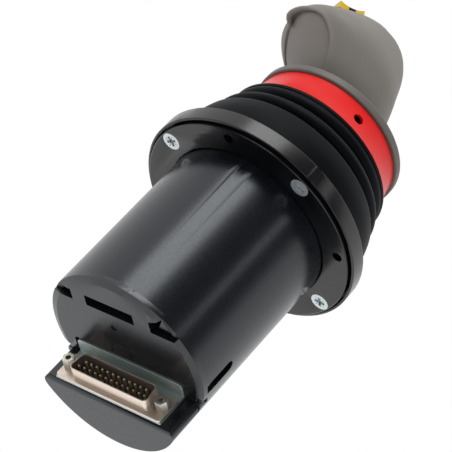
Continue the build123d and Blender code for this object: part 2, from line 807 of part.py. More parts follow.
with BuildPart() as collar_ring:
    with BuildSketch(Plane.XZ):
        with BuildLine():
            chord_mid = ((collar_bottom_radius + collar_top_radius) / 2 - collar_waist,
                         (collar_bottom + collar_top) / 2)
            ThreePointArc((collar_bottom_radius, collar_bottom), chord_mid,
                          (collar_top_radius, collar_top))
            Polyline(
                (collar_top_radius, collar_top), (collar_bore, collar_top),
                (collar_bore, twist_bottom), (collar_floor_bore, twist_bottom),
                (collar_floor_bore, collar_bottom),
                (collar_spigot_radius - collar_spigot_wall, collar_bottom),
                (collar_spigot_radius - collar_spigot_wall, collar_bottom - collar_spigot_height),
                (collar_spigot_radius, collar_bottom - collar_spigot_height),
                (collar_spigot_radius, collar_bottom), (collar_bottom_radius, collar_bottom))
        make_face()
    revolve(axis=Axis.Z)
    for angle in hole_angles:
        with BuildSketch(radial_plane(angle, collar_bore - 1, collar_hole_z)):
            Circle(collar_hole_radius)
        extrude(amount=collar_bottom_radius - collar_bore + 1, mode=Mode.SUBTRACT)
save(collar_ring, "collar_ring")

grub_seat = twist_radius - twist_wall * 0.5
with BuildPart() as collar_grub_screws:
    for angle in hole_angles:
        with BuildSketch(radial_plane(angle, grub_seat, collar_hole_z)):
            Circle(collar_hole_radius - 0.05)
        extrude(amount=grub_length)
        with BuildSketch(radial_plane(angle, grub_seat + grub_length, collar_hole_z)):
            RegularPolygon(grub_socket, 6, major_radius=False)
        extrude(amount=-grub_length * 0.5, mode=Mode.SUBTRACT)
save(collar_grub_screws, "collar_grub_screws")

with BuildPart() as twist_housing:
    with BuildSketch(level(twist_bottom)):
        Circle(twist_radius)
    extrude(amount=twist_top - twist_bottom)
    with BuildSketch(level(twist_bottom + twist_floor)):
        Circle(twist_radius - twist_wall)
        Circle(twist_boss_radius, mode=Mode.SUBTRACT)
    extrude(amount=twist_top - twist_bottom - twist_floor, mode=Mode.SUBTRACT)
    with BuildSketch(level(twist_boss_top)):
        Circle(twist_boss_radius)
    extrude(amount=twist_top - twist_boss_top, mode=Mode.SUBTRACT)
    with BuildSketch(level(twist_bottom)):
        Circle(tube_radius)
    extrude(amount=twist_top - twist_bottom, mode=Mode.SUBTRACT)
    for angle in hole_angles:
        with BuildSketch(radial_plane(angle, grub_seat, collar_hole_z)):
            Circle(collar_hole_radius)
        extrude(amount=twist_wall, mode=Mode.SUBTRACT)
save(twist_housing, "twist_housing")

with BuildPart() as twist_spring:
    spring_level = level(twist_bottom + twist_floor + twist_spring_wire / 2 + spring_gap)
    add(coil_spring(spring_level, twist_boss_radius + spring_gap + twist_spring_wire / 2,
                    twist_spring_wire, twist_spring_turns))
save(twist_spring, "twist_spring")

with BuildPart() as twist_board:
    with BuildSketch(level(twist_bottom + twist_floor)):
        Circle(twist_radius - twist_wall - soft_gap)
        Circle(twist_magnet_inner, mode=Mode.SUBTRACT)
    extrude(amount=twist_board_thickness)
save(twist_board, "twist_board")

# ---------------------------------------------------------------- bellows
with BuildPart() as bellows:
    fold_step = (base_radius + bellows_bulge - cuff_radius) / bellows_folds
    height = cuff_bottom - bezel_top
    crests = [(cuff_radius + (bellows_folds - i) * fold_step,
               bezel_top + (bellows_first_share + i * bellows_fold_share) * height)
              for i in range(bellows_folds)]
    skin = [(base_radius, bellows_foot_top), (base_radius, bezel_top)]
    anchors = [skin[-1], *crests, (cuff_radius, cuff_bottom)]
    for (radius, height), (next_radius, next_height) in zip(anchors, anchors[1:]):
        skin.append(((radius + next_radius) / 2 - bellows_valley_depth,
                     (height + next_height) / 2))
        skin.append((next_radius, next_height))
    skin.append((cuff_radius, cuff_top))
    with BuildSketch(Plane.XZ):
        with BuildLine():
            outside = Spline(*skin)
            inside = Spline(*[(radius - bellows_wall, height) for radius, height in skin])
            Line(outside @ 0, inside @ 0)
            Line(outside @ 1, inside @ 1)
        make_face()
    revolve(axis=Axis.Z)
    # The base flange lies under the lip of the bezel, the top cuff grips the collar's spigot
    with BuildSketch(level(flange_top)):
        Circle(bezel_radius - bezel_wall - soft_gap)
        Circle(base_radius - bellows_wall, mode=Mode.SUBTRACT)
    extrude(amount=bellows_foot)
    with BuildSketch(level(collar_bottom - collar_spigot_height)):
        Circle(cuff_radius)
        Circle(collar_spigot_radius + bellows_cuff_fit, mode=Mode.SUBTRACT)
    extrude(amount=collar_spigot_height - soft_gap)
save(bellows, "bellows")

# ---------------------------------------------------------------- grip: skirt and spindle
with BuildPart() as grip_skirt:
    with BuildSketch(level(skirt_bottom)):
        Circle(skirt_radius)
    extrude(amount=skirt_thickness)
    fillet(grip_skirt.edges().group_by(Axis.Z)[-1], skirt_edge)
    fillet(grip_skirt.edges().group_by(Axis.Z)[0], skirt_edge * 0.5)
    Hole(spindle_radius)
    with Locations(level(skirt_top)):
        with PolarLocations((spindle_flange_radius + spindle_radius) / 2, 3):
            Hole(board_screw_radius, depth=skirt_thickness * 0.8)
save(grip_skirt, "grip_skirt")

spindle_bottom = tube_bottom + clip_thickness * 0.5
with BuildPart() as twist_spindle:
    with BuildSketch(level(spindle_bottom)):
        Circle(spindle_radius)
    extrude(amount=skirt_top - spindle_bottom)
    with BuildSketch(level(skirt_top)):
        Circle(spindle_flange_radius)
    extrude(amount=spindle_flange_thickness)
    with BuildSketch(level(spindle_bottom)):
        Circle(spindle_bore)
    extrude(amount=skirt_top + spindle_flange_thickness - spindle_bottom, mode=Mode.SUBTRACT)
    with BuildSketch(level(clip_bottom)):
        Circle(spindle_radius)
        Circle(spindle_radius - clip_thickness * 0.5, mode=Mode.SUBTRACT)
    extrude(amount=clip_thickness, mode=Mode.SUBTRACT)
    with Locations(level(skirt_top + spindle_flange_thickness)):
        with PolarLocations((spindle_flange_radius + spindle_radius) / 2, 3):
            Hole(board_screw_radius, depth=spindle_flange_thickness)
save(twist_spindle, "twist_spindle")

with BuildPart() as spindle_clip:
    with BuildSketch(level(clip_bottom)):
        Circle(tube_bore - soft_gap)
        Circle(spindle_radius - clip_thickness * 0.5, mode=Mode.SUBTRACT)
        with Locations((tube_bore, 0)):
            Rectangle(2 * (tube_bore - spindle_radius) + 2, spindle_radius, mode=Mode.SUBTRACT)
    extrude(amount=clip_thickness)
save(spindle_clip, "spindle_clip")

with BuildPart() as grip_screws:
    with Locations(level(skirt_top + spindle_flange_thickness)):
        with PolarLocations((spindle_flange_radius + spindle_radius) / 2, 3):
            Cylinder(board_screw_head_radius, board_screw_head_height,
                     align=(Align.CENTER, Align.CENTER, Align.MIN))
            Cylinder(board_screw_radius, board_screw_length,
                     align=(Align.CENTER, Align.CENTER, Align.MAX))
    with BuildSketch(level(skirt_top + spindle_flange_thickness + board_screw_head_height)):
        with PolarLocations((spindle_flange_radius + spindle_radius) / 2, 3):
            RegularPolygon(board_screw_radius * 0.8, 6, major_radius=False)
    extrude(amount=-board_screw_head_height * 0.6, mode=Mode.SUBTRACT)
save(grip_screws, "grip_screws")

with BuildPart() as twist_magnet:
    with BuildSketch(level(skirt_bottom - twist_magnet_thickness)):
        Circle(twist_magnet_outer)
        Circle(twist_magnet_inner, mode=Mode.SUBTRACT)
    extrude(amount=twist_magnet_thickness)
save(twist_magnet, "twist_magnet")


# ---------------------------------------------------------------- grip: palm shell and thumb panel
def oval(rear, front, half_width, count=12):
    """Points round a full oval between these reaches, a little squarer than an ellipse."""
    points = []
    for i in range(count):
        along, across = cos(2 * pi * i / count), sin(2 * pi * i / count)
        along = copysign(abs(along) ** oval_power, along)
        across = copysign(abs(across) ** oval_power, across)
        points.append(((front + rear) / 2 + (front - rear) / 2 * along, half_width * across))
    return points


def grip_form(inset, sections):
    """The grip's leaning form, this far inside its outer surface."""
    with BuildPart() as form:
        for height, rear, front, half_width in sections:
            with BuildSketch(level(skirt_top + height)):
                with BuildLine():
                    Spline(*oval(rear + inset, front - inset, half_width - inset), periodic=True)
                make_face()
        loft()
    return form.part


def panel_arch(shrink):
    """The arched opening for the thumb panel, as a bar that runs out through the grip's side."""
    way = Vector(cos(radians(panel_yaw)), sin(radians(panel_yaw)), 0)
    side = Vector(-way.Y, way.X, 0)
    radius = panel_radius - shrink
    with BuildPart() as bar:
        with BuildSketch(Plane(origin=(0, 0, 0), x_dir=side, z_dir=way)):
            with Locations((panel_side - panel_reach / 2, skirt_top + panel_rise)):
                SlotOverall(2 * radius + panel_reach, 2 * radius)
                Rectangle(2 * radius + panel_reach, panel_rise - shrink,
                          align=(Align.CENTER, Align.MAX))
        extrude(amount=2 * skirt_radius)
    return bar.part


def rocker_plane(rise):
    """The plane of the thumb rocker: x runs down its slope, y is forward and z is its normal."""
    slope = radians(rocker_slope)
    normal = lateral * sin(slope) + up * cos(slope)
    downhill = lateral * cos(slope) - up * sin(slope)
    place = lateral * rocker_lateral + forward * rocker_forward + up * (skirt_top + rocker_height)
    return Plane(origin=place + normal * rise, x_dir=downhill, z_dir=normal)


def rocker_side_plane(reach):
    """A plane square to the rocker's pin, at this reach along it; its y is up off the pivot."""
    place = rocker_plane(rocker_frame_rise - rocker_pivot_depth)
    return Plane(origin=place.origin - place.y_dir * reach, x_dir=place.x_dir,
                 z_dir=-place.y_dir)


frame_length = rocker_length + 2 * (rocker_gap + rocker_frame_wall)
frame_width = rocker_width + 2 * (rocker_side_gap + rocker_frame_wall)

grip_cavity = grip_form(grip_wall, grip_sections[:-2])
with BuildPart() as palm_shell:
    add(grip_form(0, grip_sections))
    add(grip_cavity, mode=Mode.SUBTRACT)
    add(panel_arch(0), mode=Mode.SUBTRACT)
    with BuildSketch(rocker_plane(2 * rocker_frame_depth)):
        RectangleRounded(frame_length, frame_width, 1.5)
    extrude(amount=-3 * rocker_frame_depth, mode=Mode.SUBTRACT)
save(palm_shell, "palm_shell")

with BuildPart() as thumb_panel:
    add(grip_form(panel_inset, grip_sections[:-1]))
    add(grip_cavity, mode=Mode.SUBTRACT)
    add(panel_arch(panel_fit), mode=Mode.INTERSECT)
save(thumb_panel, "thumb_panel")

# ---------------------------------------------------------------- thumb rocker in its frame
with BuildPart() as rocker_frame:
    with BuildSketch(rocker_plane(rocker_frame_rise)):
        RectangleRounded(frame_length - 2 * cap_fit, frame_width - 2 * cap_fit, 1.5)
    extrude(amount=-(rocker_frame_rise + rocker_frame_depth))
    with BuildSketch(rocker_plane(rocker_frame_rise)):
        Rectangle(rocker_length + 2 * rocker_gap, rocker_width + 2 * rocker_side_gap)
    extrude(amount=-(rocker_frame_rise + rocker_frame_depth), mode=Mode.SUBTRACT)
    with BuildSketch(rocker_side_plane(-frame_width)):
        Circle(rocker_pin_radius + running_gap)
    extrude(amount=2 * frame_width, mode=Mode.SUBTRACT)
save(rocker_frame, "rocker_frame")

with BuildPart() as thumb_rocker:
    with BuildSketch(rocker_side_plane(-rocker_width / 2)):
        with BuildLine():
            half = rocker_length / 2
            skirt = rocker_crown - rocker_belly
            Polyline((-half, skirt), (-half, rocker_pivot_depth + rocker_rise))
            ThreePointArc((-half, rocker_pivot_depth + rocker_rise),
                          (0, rocker_pivot_depth + rocker_rise - rocker_dip),
                          (half, rocker_pivot_depth + rocker_rise))
            Polyline((half, rocker_pivot_depth + rocker_rise), (half, skirt))
            ThreePointArc((half, skirt), (0, -rocker_belly), (-half, skirt))
        make_face()
        Circle(rocker_pin_radius, mode=Mode.SUBTRACT)
    extrude(amount=rocker_width)
save(thumb_rocker, "thumb_rocker")

with BuildPart() as rocker_pin:
    with BuildSketch(rocker_side_plane(-frame_width / 2 + 2 * cap_fit)):
        Circle(rocker_pin_radius)
    extrude(amount=frame_width - 4 * cap_fit)
save(rocker_pin, "rocker_pin")

rocker_sweep = (plunger_reach + plunger_radius) * sin(radians(rocker_travel))
plunger_height = (rocker_frame_depth + rocker_frame_rise - rocker_pivot_depth
                  - rocker_belly - rocker_sweep - plunger_gap)
with BuildPart() as rocker_switch:
    with BuildSketch(rocker_plane(-rocker_frame_depth)):
        RectangleRounded(frame_length - 2 * cap_fit, frame_width - 2 * cap_fit, 1)
    extrude(amount=-switch_height)
    # Two plungers, each just clear of the rocker when its own end is pressed down
    with BuildSketch(rocker_plane(-rocker_frame_depth)):
        with GridLocations(2 * plunger_reach, 1, 2, 1):
            Circle(plunger_radius)
    extrude(amount=plunger_height)
save(rocker_switch, "rocker_switch")

# ---------------------------------------------------------------- boards under the gimbal
def standoffs(bottom, top, stud_length):
    """Four hexagonal spacers between these heights, tapped below and with a stud on top."""
    with BuildPart() as group:
        with BuildSketch(Plane.XY.offset(bottom)):
            with Locations(*standoff_spots):
                RegularPolygon(standoff_across_flats / 2, 6, major_radius=False)
        extrude(amount=top - bottom)
        with BuildSketch(Plane.XY.offset(bottom)):
            with Locations(*standoff_spots):
                Circle(board_screw_radius)
        extrude(amount=board_screw_length - board_thickness, mode=Mode.SUBTRACT)
        with BuildSketch(Plane.XY.offset(top)):
            with Locations(*standoff_spots):
                Circle(board_screw_radius)
        extrude(amount=stud_length)
    return group.part


def board(bottom):
    """A round board with four screw holes."""
    with BuildPart() as plate:
        with BuildSketch(Plane.XY.offset(bottom)):
            Circle(board_radius)
            with Locations(*standoff_spots):
                Circle(board_screw_radius, mode=Mode.SUBTRACT)
        extrude(amount=board_thickness)
    return plate.part


with BuildPart() as sensor_board:
    add(board(sensor_board_z))
save(sensor_board, "sensor_board")
with BuildPart() as main_board:
    add(board(main_board_z))
save(main_board, "main_board")
with BuildPart() as upper_standoffs:
    add(standoffs(sensor_board_z + board_thickness, frame_underside, frame_stud_length))
save(upper_standoffs, "upper_standoffs")
with BuildPart() as lower_standoffs:
    add(standoffs(main_board_z + board_thickness, sensor_board_z, board_screw_length))
save(lower_standoffs, "lower_standoffs")

with BuildPart() as board_screws:
    with BuildSketch(Plane.XY.offset(main_board_z)):
        with Locations(*standoff_spots):
            Circle(board_screw_head_radius)
    extrude(amount=-board_screw_head_height)
    with BuildSketch(Plane.XY.offset(main_board_z)):
        with Locations(*standoff_spots):
            Circle(board_screw_radius)
    extrude(amount=board_screw_length)
save(board_screws, "board_screws")

with BuildPart() as ribbon_header:
    with BuildSketch(Plane.XY.offset(main_board_z)):
        with Locations((0, ribbon_y)):
            Rectangle(header_length, header_width)
    extrude(amount=-header_height)
save(ribbon_header, "ribbon_header")

with BuildPart() as ribbon_cable:
    with BuildSketch(Plane.YZ.offset(-ribbon_width / 2)):
        with BuildLine():
            FilletPolyline((ribbon_y, main_board_z - header_height), (ribbon_y, connector_z),
                           (insulator_back, connector_z), radius=ribbon_bend)
        trace(line_width=ribbon_thickness)
    extrude(amount=ribbon_width)
save(ribbon_cable, "ribbon_cable")

with BuildPart() as hall_chip:
    with BuildSketch(Plane.XY.offset(sensor_board_z + board_thickness)):
        Rectangle(hall_chip_length, hall_chip_width)
    extrude(amount=hall_chip_height)
save(hall_chip, "hall_chip")

with BuildPart() as board_parts:
    with BuildSketch(Plane.XY.offset(main_board_z + board_thickness)):
        for across, along, length, width in board_chips:
            with Locations((across, along)):
                Rectangle(length, width)
    extrude(amount=board_chip_height)
save(board_parts, "board_parts")
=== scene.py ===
from math import atan2, cos, degrees, pi, radians, sin, sqrt

import bmesh
import bpy
from mathutils import Matrix, Vector


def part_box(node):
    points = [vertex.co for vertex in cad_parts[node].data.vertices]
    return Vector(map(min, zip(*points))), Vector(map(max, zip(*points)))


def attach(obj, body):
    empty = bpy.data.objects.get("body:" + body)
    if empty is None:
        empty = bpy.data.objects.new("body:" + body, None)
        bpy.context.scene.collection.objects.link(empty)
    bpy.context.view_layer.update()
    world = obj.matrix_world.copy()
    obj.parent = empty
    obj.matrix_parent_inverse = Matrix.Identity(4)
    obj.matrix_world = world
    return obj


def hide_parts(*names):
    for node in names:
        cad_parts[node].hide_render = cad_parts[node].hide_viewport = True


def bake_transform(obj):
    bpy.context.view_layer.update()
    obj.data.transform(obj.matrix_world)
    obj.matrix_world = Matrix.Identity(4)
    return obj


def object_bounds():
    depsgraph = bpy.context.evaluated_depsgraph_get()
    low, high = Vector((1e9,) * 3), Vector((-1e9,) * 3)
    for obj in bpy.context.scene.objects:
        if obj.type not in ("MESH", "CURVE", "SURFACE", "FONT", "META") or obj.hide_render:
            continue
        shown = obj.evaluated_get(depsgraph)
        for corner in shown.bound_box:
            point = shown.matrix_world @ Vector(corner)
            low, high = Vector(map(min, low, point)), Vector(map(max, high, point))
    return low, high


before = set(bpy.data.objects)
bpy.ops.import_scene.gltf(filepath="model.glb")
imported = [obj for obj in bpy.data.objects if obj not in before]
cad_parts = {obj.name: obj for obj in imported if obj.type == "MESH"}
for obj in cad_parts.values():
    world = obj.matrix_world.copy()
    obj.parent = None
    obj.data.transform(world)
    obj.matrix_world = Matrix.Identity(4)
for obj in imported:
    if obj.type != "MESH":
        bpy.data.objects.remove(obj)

cad_box = [list(corner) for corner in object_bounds()]
mm = 0.001


# ---- Camera
# A long lens under the connector end of the joystick looks up its length to the grip.
camera_data = bpy.data.cameras.new("studio_camera")
camera_data.lens = 144.61
camera_data.sensor_width = 36.0
camera_data.clip_start = 0.01
camera = bpy.data.objects.new("studio_camera", camera_data)
bpy.context.scene.collection.objects.link(camera)
looks_along = Vector((0.5198, -0.6708, 0.5290)).normalized()
frame_right = Vector((-0.7970, -0.1579, 0.5830))
frame_right = (frame_right - looks_along * frame_right.dot(looks_along)).normalized()
frame_up = frame_right.cross(looks_along)
camera.matrix_world = Matrix.LocRotScale(
    Vector((-0.3844, 0.5041, -0.4031)),
    Matrix((frame_right, frame_up, -looks_along)).transposed(), None)
bpy.context.scene.camera = camera
bpy.context.scene.view_settings.view_transform = "Standard"


# ---- Studio
# The joystick stands on a pale floor in a white room whose camera side is unlit, so glossy black
# plastic has something dark to mirror. One large softbox draws the bright band down the housing.
def linear(code):
    """An sRGB hex colour as the linear colour of a shader socket."""
    shares = [int(code[i:i + 2], 16) / 255 for i in (0, 2, 4)]
    return [c / 12.92 if c <= 0.04045 else ((c + 0.055) / 1.055) ** 2.4 for c in shares] + [1.0]


def put(tree, kind, inputs=None, **settings):
    """Adds one node: its own settings, and for each input a value or the output that feeds it."""
    made = tree.nodes.new(kind)
    for name, value in settings.items():
        setattr(made, name, value)
    for name, value in (inputs or {}).items():
        if isinstance(value, bpy.types.NodeSocket):
            tree.links.new(value, made.inputs[name])
        else:
            made.inputs[name].default_value = value
    return made


def toward(azimuth, elevation, distance=1.0):
    """A point that far from the origin, from its bearing off +X and its height over the horizon."""
    a, e = radians(azimuth), radians(elevation)
    return Vector((cos(a) * cos(e), sin(a) * cos(e), sin(e))) * distance


def softbox(name, azimuth, elevation, width, height, radiance):
    """A rectangular lamp 1.2 m away that faces the joystick, of this brightness as it is mirrored."""
    data = bpy.data.lights.new(name, "AREA")
    data.shape = "RECTANGLE"
    data.size = width
    data.size_y = height
    data.energy = radiance * pi * width * height
    lamp = bpy.data.objects.new(name, data)
    bpy.context.scene.collection.objects.link(lamp)
    place = toward(azimuth, elevation, 1.2)
    lamp.matrix_world = Matrix.Translation(place) @ place.to_track_quat("Z", "Y").to_matrix().to_4x4()


softbox("band_softbox", 87.0, 32.0, 0.66, 0.62, 3.6)
softbox("ridge_softbox", 160.0, 32.0, 0.14, 0.5, 1.6)

room = bpy.data.worlds.new("white_room")
bpy.context.scene.world = room
room.use_nodes = True
sky = room.node_tree
sky.nodes.clear()
ray = put(sky, "ShaderNodeLightPath")
bearing = put(sky, "ShaderNodeTexCoord")
unlit = []
# Two dark parts of the room: their bearing and height, where they start and are whole, and what light is left
for azimuth, elevation, rim, core, left in ((151.0, 5.0, 53, 38, 0.07), (80.0, -26.0, 50, 32, 0.06)):
    angle = put(sky, "ShaderNodeVectorMath", {0: bearing.outputs["Generated"]}, operation="DOT_PRODUCT")
    angle.inputs[1].default_value = toward(azimuth, elevation)
    unlit.append(put(sky, "ShaderNodeMapRange", {"Value": angle.outputs["Value"], "From Min": cos(radians(rim)),
                     "From Max": cos(radians(core)), "To Min": 1.0, "To Max": left},
                     interpolation_type="SMOOTHSTEP"))
room_light = put(sky, "ShaderNodeMath", {0: unlit[0].outputs["Result"], 1: unlit[1].outputs["Result"]},
                 operation="MULTIPLY")
mirrored = put(sky, "ShaderNodeMix", {"Factor": ray.outputs["Is Glossy Ray"], "A": 0.62,
               "B": room_light.outputs[0]})
backdrop = put(sky, "ShaderNodeMath", {0: ray.outputs["Is Camera Ray"], 1: ray.outputs["Is Transmission Ray"]},
               operation="MAXIMUM")
level = put(sky, "ShaderNodeMix", {"Factor": backdrop.outputs[0], "A": mirrored.outputs["Result"], "B": 1.0})
light = put(sky, "ShaderNodeBackground", {"Color": (1.0, 1.0, 1.0, 1.0), "Strength": level.outputs["Result"]})
put(sky, "ShaderNodeOutputWorld", {"Surface": light.outputs[0]})

floor_mesh = bpy.data.meshes.new("floor")
floor_z, reach = cad_box[0][2], 3.0
corners = [(x * reach, y * reach, floor_z) for x, y in ((-1, -1), (1, -1), (1, 1), (-1, 1))]
floor_mesh.from_pydata(corners, [], [(0, 1, 2, 3)])
floor = bpy.data.objects.new("floor", floor_mesh)
bpy.context.scene.collection.objects.link(floor)
# Painted board, seen from above only: the low camera and the light from below pass through it
floor_paint = bpy.data.materials.new("pale_painted_board")
floor_paint.use_nodes = True
tree = floor_paint.node_tree
tree.nodes.clear()
ray = put(tree, "ShaderNodeLightPath")
side = put(tree, "ShaderNodeNewGeometry")
seen = put(tree, "ShaderNodeMath", {0: ray.outputs["Is Camera Ray"], 1: side.outputs["Backfacing"]},
           operation="SUBTRACT", use_clamp=True)
paint = put(tree, "ShaderNodeBsdfDiffuse", {"Color": linear("f4f4f4")})
clear = put(tree, "ShaderNodeBsdfTransparent")
shown = put(tree, "ShaderNodeMixShader", {0: seen.outputs[0], 1: clear.outputs[0], 2: paint.outputs[0]})
put(tree, "ShaderNodeOutputMaterial", {"Surface": shown.outputs[0]})
floor_mesh.materials.append(floor_paint)


# ---- Housing
# The tube below the panel, moulded in glass-filled black nylon from a polished tool. It draws in a
# little towards the end, where it meets the rim of the end cap.
def finish(name, **sockets):
    """A new material with one Principled shader, whose even values are set here."""
    made = bpy.data.materials.new(name)
    made.use_nodes = True
    made.node_tree.nodes.clear()
    shader = put(made.node_tree, "ShaderNodeBsdfPrincipled",
                 {key.replace("_", " "): value for key, value in sockets.items()})
    put(made.node_tree, "ShaderNodeOutputMaterial", {"Surface": shader.outputs[0]})
    return made, made.node_tree, shader


def moulded(name, tone, worn_tone, roughness, swing, grain, depth, **sockets):
    """Moulded plastic: a mottle of two near tones, and a grain this large and deep, in mm."""
    made, tree, shader = finish(name, **sockets)
    place = put(tree, "ShaderNodeTexCoord").outputs["Object"]
    mottle = put(tree, "ShaderNodeTexNoise", {"Vector": place, "Scale": 1 / (14 * mm), "Detail": 3.0})
    tones = put(tree, "ShaderNodeMix", {"Factor": mottle.outputs["Fac"], "A": linear(tone),
                "B": linear(worn_tone)}, data_type="RGBA")
    tree.links.new(tones.outputs[2], shader.inputs["Base Color"])
    skin = put(tree, "ShaderNodeTexNoise", {"Vector": place, "Scale": 1 / (grain * mm), "Detail": 2.0})
    polish = put(tree, "ShaderNodeMapRange", {"Value": skin.outputs["Fac"], "From Min": 0.3, "From Max": 0.7,
                 "To Min": roughness - swing, "To Max": roughness + swing})
    tree.links.new(polish.outputs["Result"], shader.inputs["Roughness"])
    relief = put(tree, "ShaderNodeBump", {"Height": skin.outputs["Fac"], "Distance": depth * mm})
    tree.links.new(relief.outputs["Normal"], shader.inputs["Normal"])
    return made


def joined_copy(node):
    """A CAD node's mesh with its loose triangles joined and its flat faces made whole."""
    mesh = bmesh.new()
    mesh.from_mesh(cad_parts[node].data)
    bmesh.ops.remove_doubles(mesh, verts=mesh.verts, dist=0.002 * mm)
    bmesh.ops.dissolve_limit(mesh, angle_limit=radians(0.6), verts=mesh.verts, edges=mesh.edges,
                             use_dissolve_boundaries=False, delimit={"NORMAL"})
    return mesh


def piece_of(mesh, name, crease=32.0):
    """An object from a bmesh: smooth, but sharp along edges that turn by more than the crease."""
    data = bpy.data.meshes.new(name)
    mesh.to_mesh(data)
    mesh.free()
    data.shade_smooth()
    data.set_sharp_from_angle(angle=radians(crease))
    made = bpy.data.objects.new(name, data)
    bpy.context.scene.collection.objects.link(made)
    return made


def dressed(node, name, body, finishes, edge, mesh=None):
    """Stands for a rigid CAD node: its solid, or this reshaped copy, with edges rounded by these mm."""
    made = piece_of(mesh or joined_copy(node), name)
    numbers = [face.material_index for face in made.data.polygons]
    made.data.materials.clear()
    for each in finishes:
        made.data.materials.append(each)
    made.data.polygons.foreach_set("material_index", [min(number, len(finishes) - 1) for number in numbers])
    round_edges = made.modifiers.new("rounded_edges", "BEVEL")
    round_edges.width = edge * mm
    round_edges.segments = 2
    round_edges.limit_method = "ANGLE"
    round_edges.angle_limit = radians(40)
    round_edges.harden_normals = True
    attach(made, body)
    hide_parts(node)
    return made


def bearing_of(x, y):
    """Degrees off +X, from -180 to 180."""
    return degrees(atan2(y, x))


housing_nylon = moulded("glossy_moulded_nylon", "14171d", "101318", 0.25, 0.03, 0.9, 0.001, IOR=1.55,
                        Specular_Tint=(0.9, 0.95, 1.0, 1.0))
tube = joined_copy("housing")
tube_foot = min(v.co.z for v in tube.verts)
touch = 0.1 * mm
foot_radius = max(v.co.xy.length for v in tube.verts if v.co.z < tube_foot + touch)
# The foot comes down to the cap's rim, and further over the right slot, but not beside the shelf
foot_drop, slot_drop, beside_shelf = 2.2 * mm, 0.8 * mm, -12.5 * mm
notch_top = tube_foot - foot_drop
for v in tube.verts:
    if v.co.z < tube_foot + touch and v.co.y > beside_shelf:
        over_slot = 130 < bearing_of(v.co.x, v.co.y) < 145
        v.co.z = notch_top - slot_drop * over_slot
dressed("housing", "housing_tube", "base", [housing_nylon], 0.15, tube)


# ---- End cap
# The cap that closes the tube, moulded in the same black nylon, a shade greyer. Its face runs out to
# the tube's own side over a shallow bevel, the outer slots break through the rim, and a shelf under
# it carries the connector.
cap_nylon = moulded("satin_moulded_nylon", "1a1c20", "15171b", 0.25, 0.03, 0.7, 0.001, IOR=1.62,
                    Specular_Tint=(0.92, 0.96, 1.0, 1.0))


def along_steps(value, steps):
    """The value that lies between these (from, to) steps, in straight runs."""
    for (a, b), (c, d) in zip(steps, steps[1:]):
        if value <= c:
            break
    return b + (value - a) * (d - b) / (c - a)


cap = joined_copy("end_cap")
face_z = max(v.co.z for v in cap.verts if v.co.xy.length < 30 * mm and v.co.z < tube_foot - 2.9 * mm)
shelf_top = max(v.co.y for v in cap.verts if v.co.z < face_z - 3 * mm)
face_drop, wall_depth, rim_reach, wall_reach = 1.3 * mm, 3.1 * mm, 35.2 * mm, 35 * mm
slot_shift, slots_above = Vector((-1.3, 1.65, 0)) * mm, -4.4 * mm
# Bearings of the slots' corners, on the face's rim and on the side: where the CAD has them, and here
face_steps = ((-90, -90), (0, 0), (29.1, 33.9), (39.9, 46), (90, 90), (140.1, 128.5), (150.9, 146.5),
              (180, 180), (270, 270))
side_steps = ((-90, -90), (0, 0), (28.4, 30.7), (38.8, 41.3), (90, 90), (141.2, 130), (151.6, 145),
              (180, 180), (270, 270))
# Reach and height of the rim's rings: inside and outside the bevel, and up on the tube
rim_rings = ((foot_radius - 3.1 * mm, face_z - face_drop), (foot_radius - 0.05 * mm, face_z - 0.2 * mm),
             (foot_radius + 0.06 * mm, notch_top + 1.2 * mm))
for v in cap.verts:
    x, y, z = v.co
    reach = v.co.xy.length
    on_shelf = y < shelf_top + touch
    on_face = z > face_z - touch
    if z > face_z + wall_depth or on_shelf and on_face and reach > wall_reach:
        continue
    if not on_shelf and reach > rim_reach:
        ring = 0 if z < face_z + touch else 1 if z < face_z + 1 * mm else 2
        bearing = radians(along_steps(bearing_of(x, y) % 360, side_steps if ring else face_steps))
        reach, level = rim_rings[ring]
        v.co = (reach * cos(bearing), reach * sin(bearing), level)
    elif on_face:
        if z < face_z + 1.1 * mm:
            v.co.z -= face_drop
        if y > slots_above:
            v.co += slot_shift


def prism(name, outline, axis, start, end):
    """A closed bar with this outline, in mm, across the Z or the X axis, from one height to another."""
    bar = bmesh.new()
    rings = [[bar.verts.new(Vector((a, b, level) if axis == "Z" else (level, a, b)) * mm) for a, b in outline]
             for level in (start, end)]
    for ring in rings:
        bar.faces.new(ring)
    for i in range(len(outline)):
        j = (i + 1) % len(outline)
        bar.faces.new((rings[0][i], rings[0][j], rings[1][j], rings[1][i]))
    bmesh.ops.recalc_face_normals(bar, faces=bar.faces)
    return piece_of(bar, name)


def arc(centre_a, centre_b, radius, first, last, steps=10):
    """Points of an arc, in mm and degrees."""
    turns = [radians(first + (last - first) * i / steps) for i in range(steps + 1)]
    return [(centre_a + radius * cos(turn), centre_b + radius * sin(turn)) for turn in turns]


def trimmed(mesh, name, cutters):
    """A bmesh with these closed bars cut out of it."""
    made = piece_of(mesh, name)
    for cutter in cutters:
        cut = made.modifiers.new("cut", "BOOLEAN")
        cut.object = cutter
        cut.solver = "EXACT"
    depsgraph = bpy.context.evaluated_depsgraph_get()
    result = bmesh.new()
    result.from_object(made, depsgraph)
    for each in (made, *cutters):
        bpy.data.objects.remove(each)
    return result


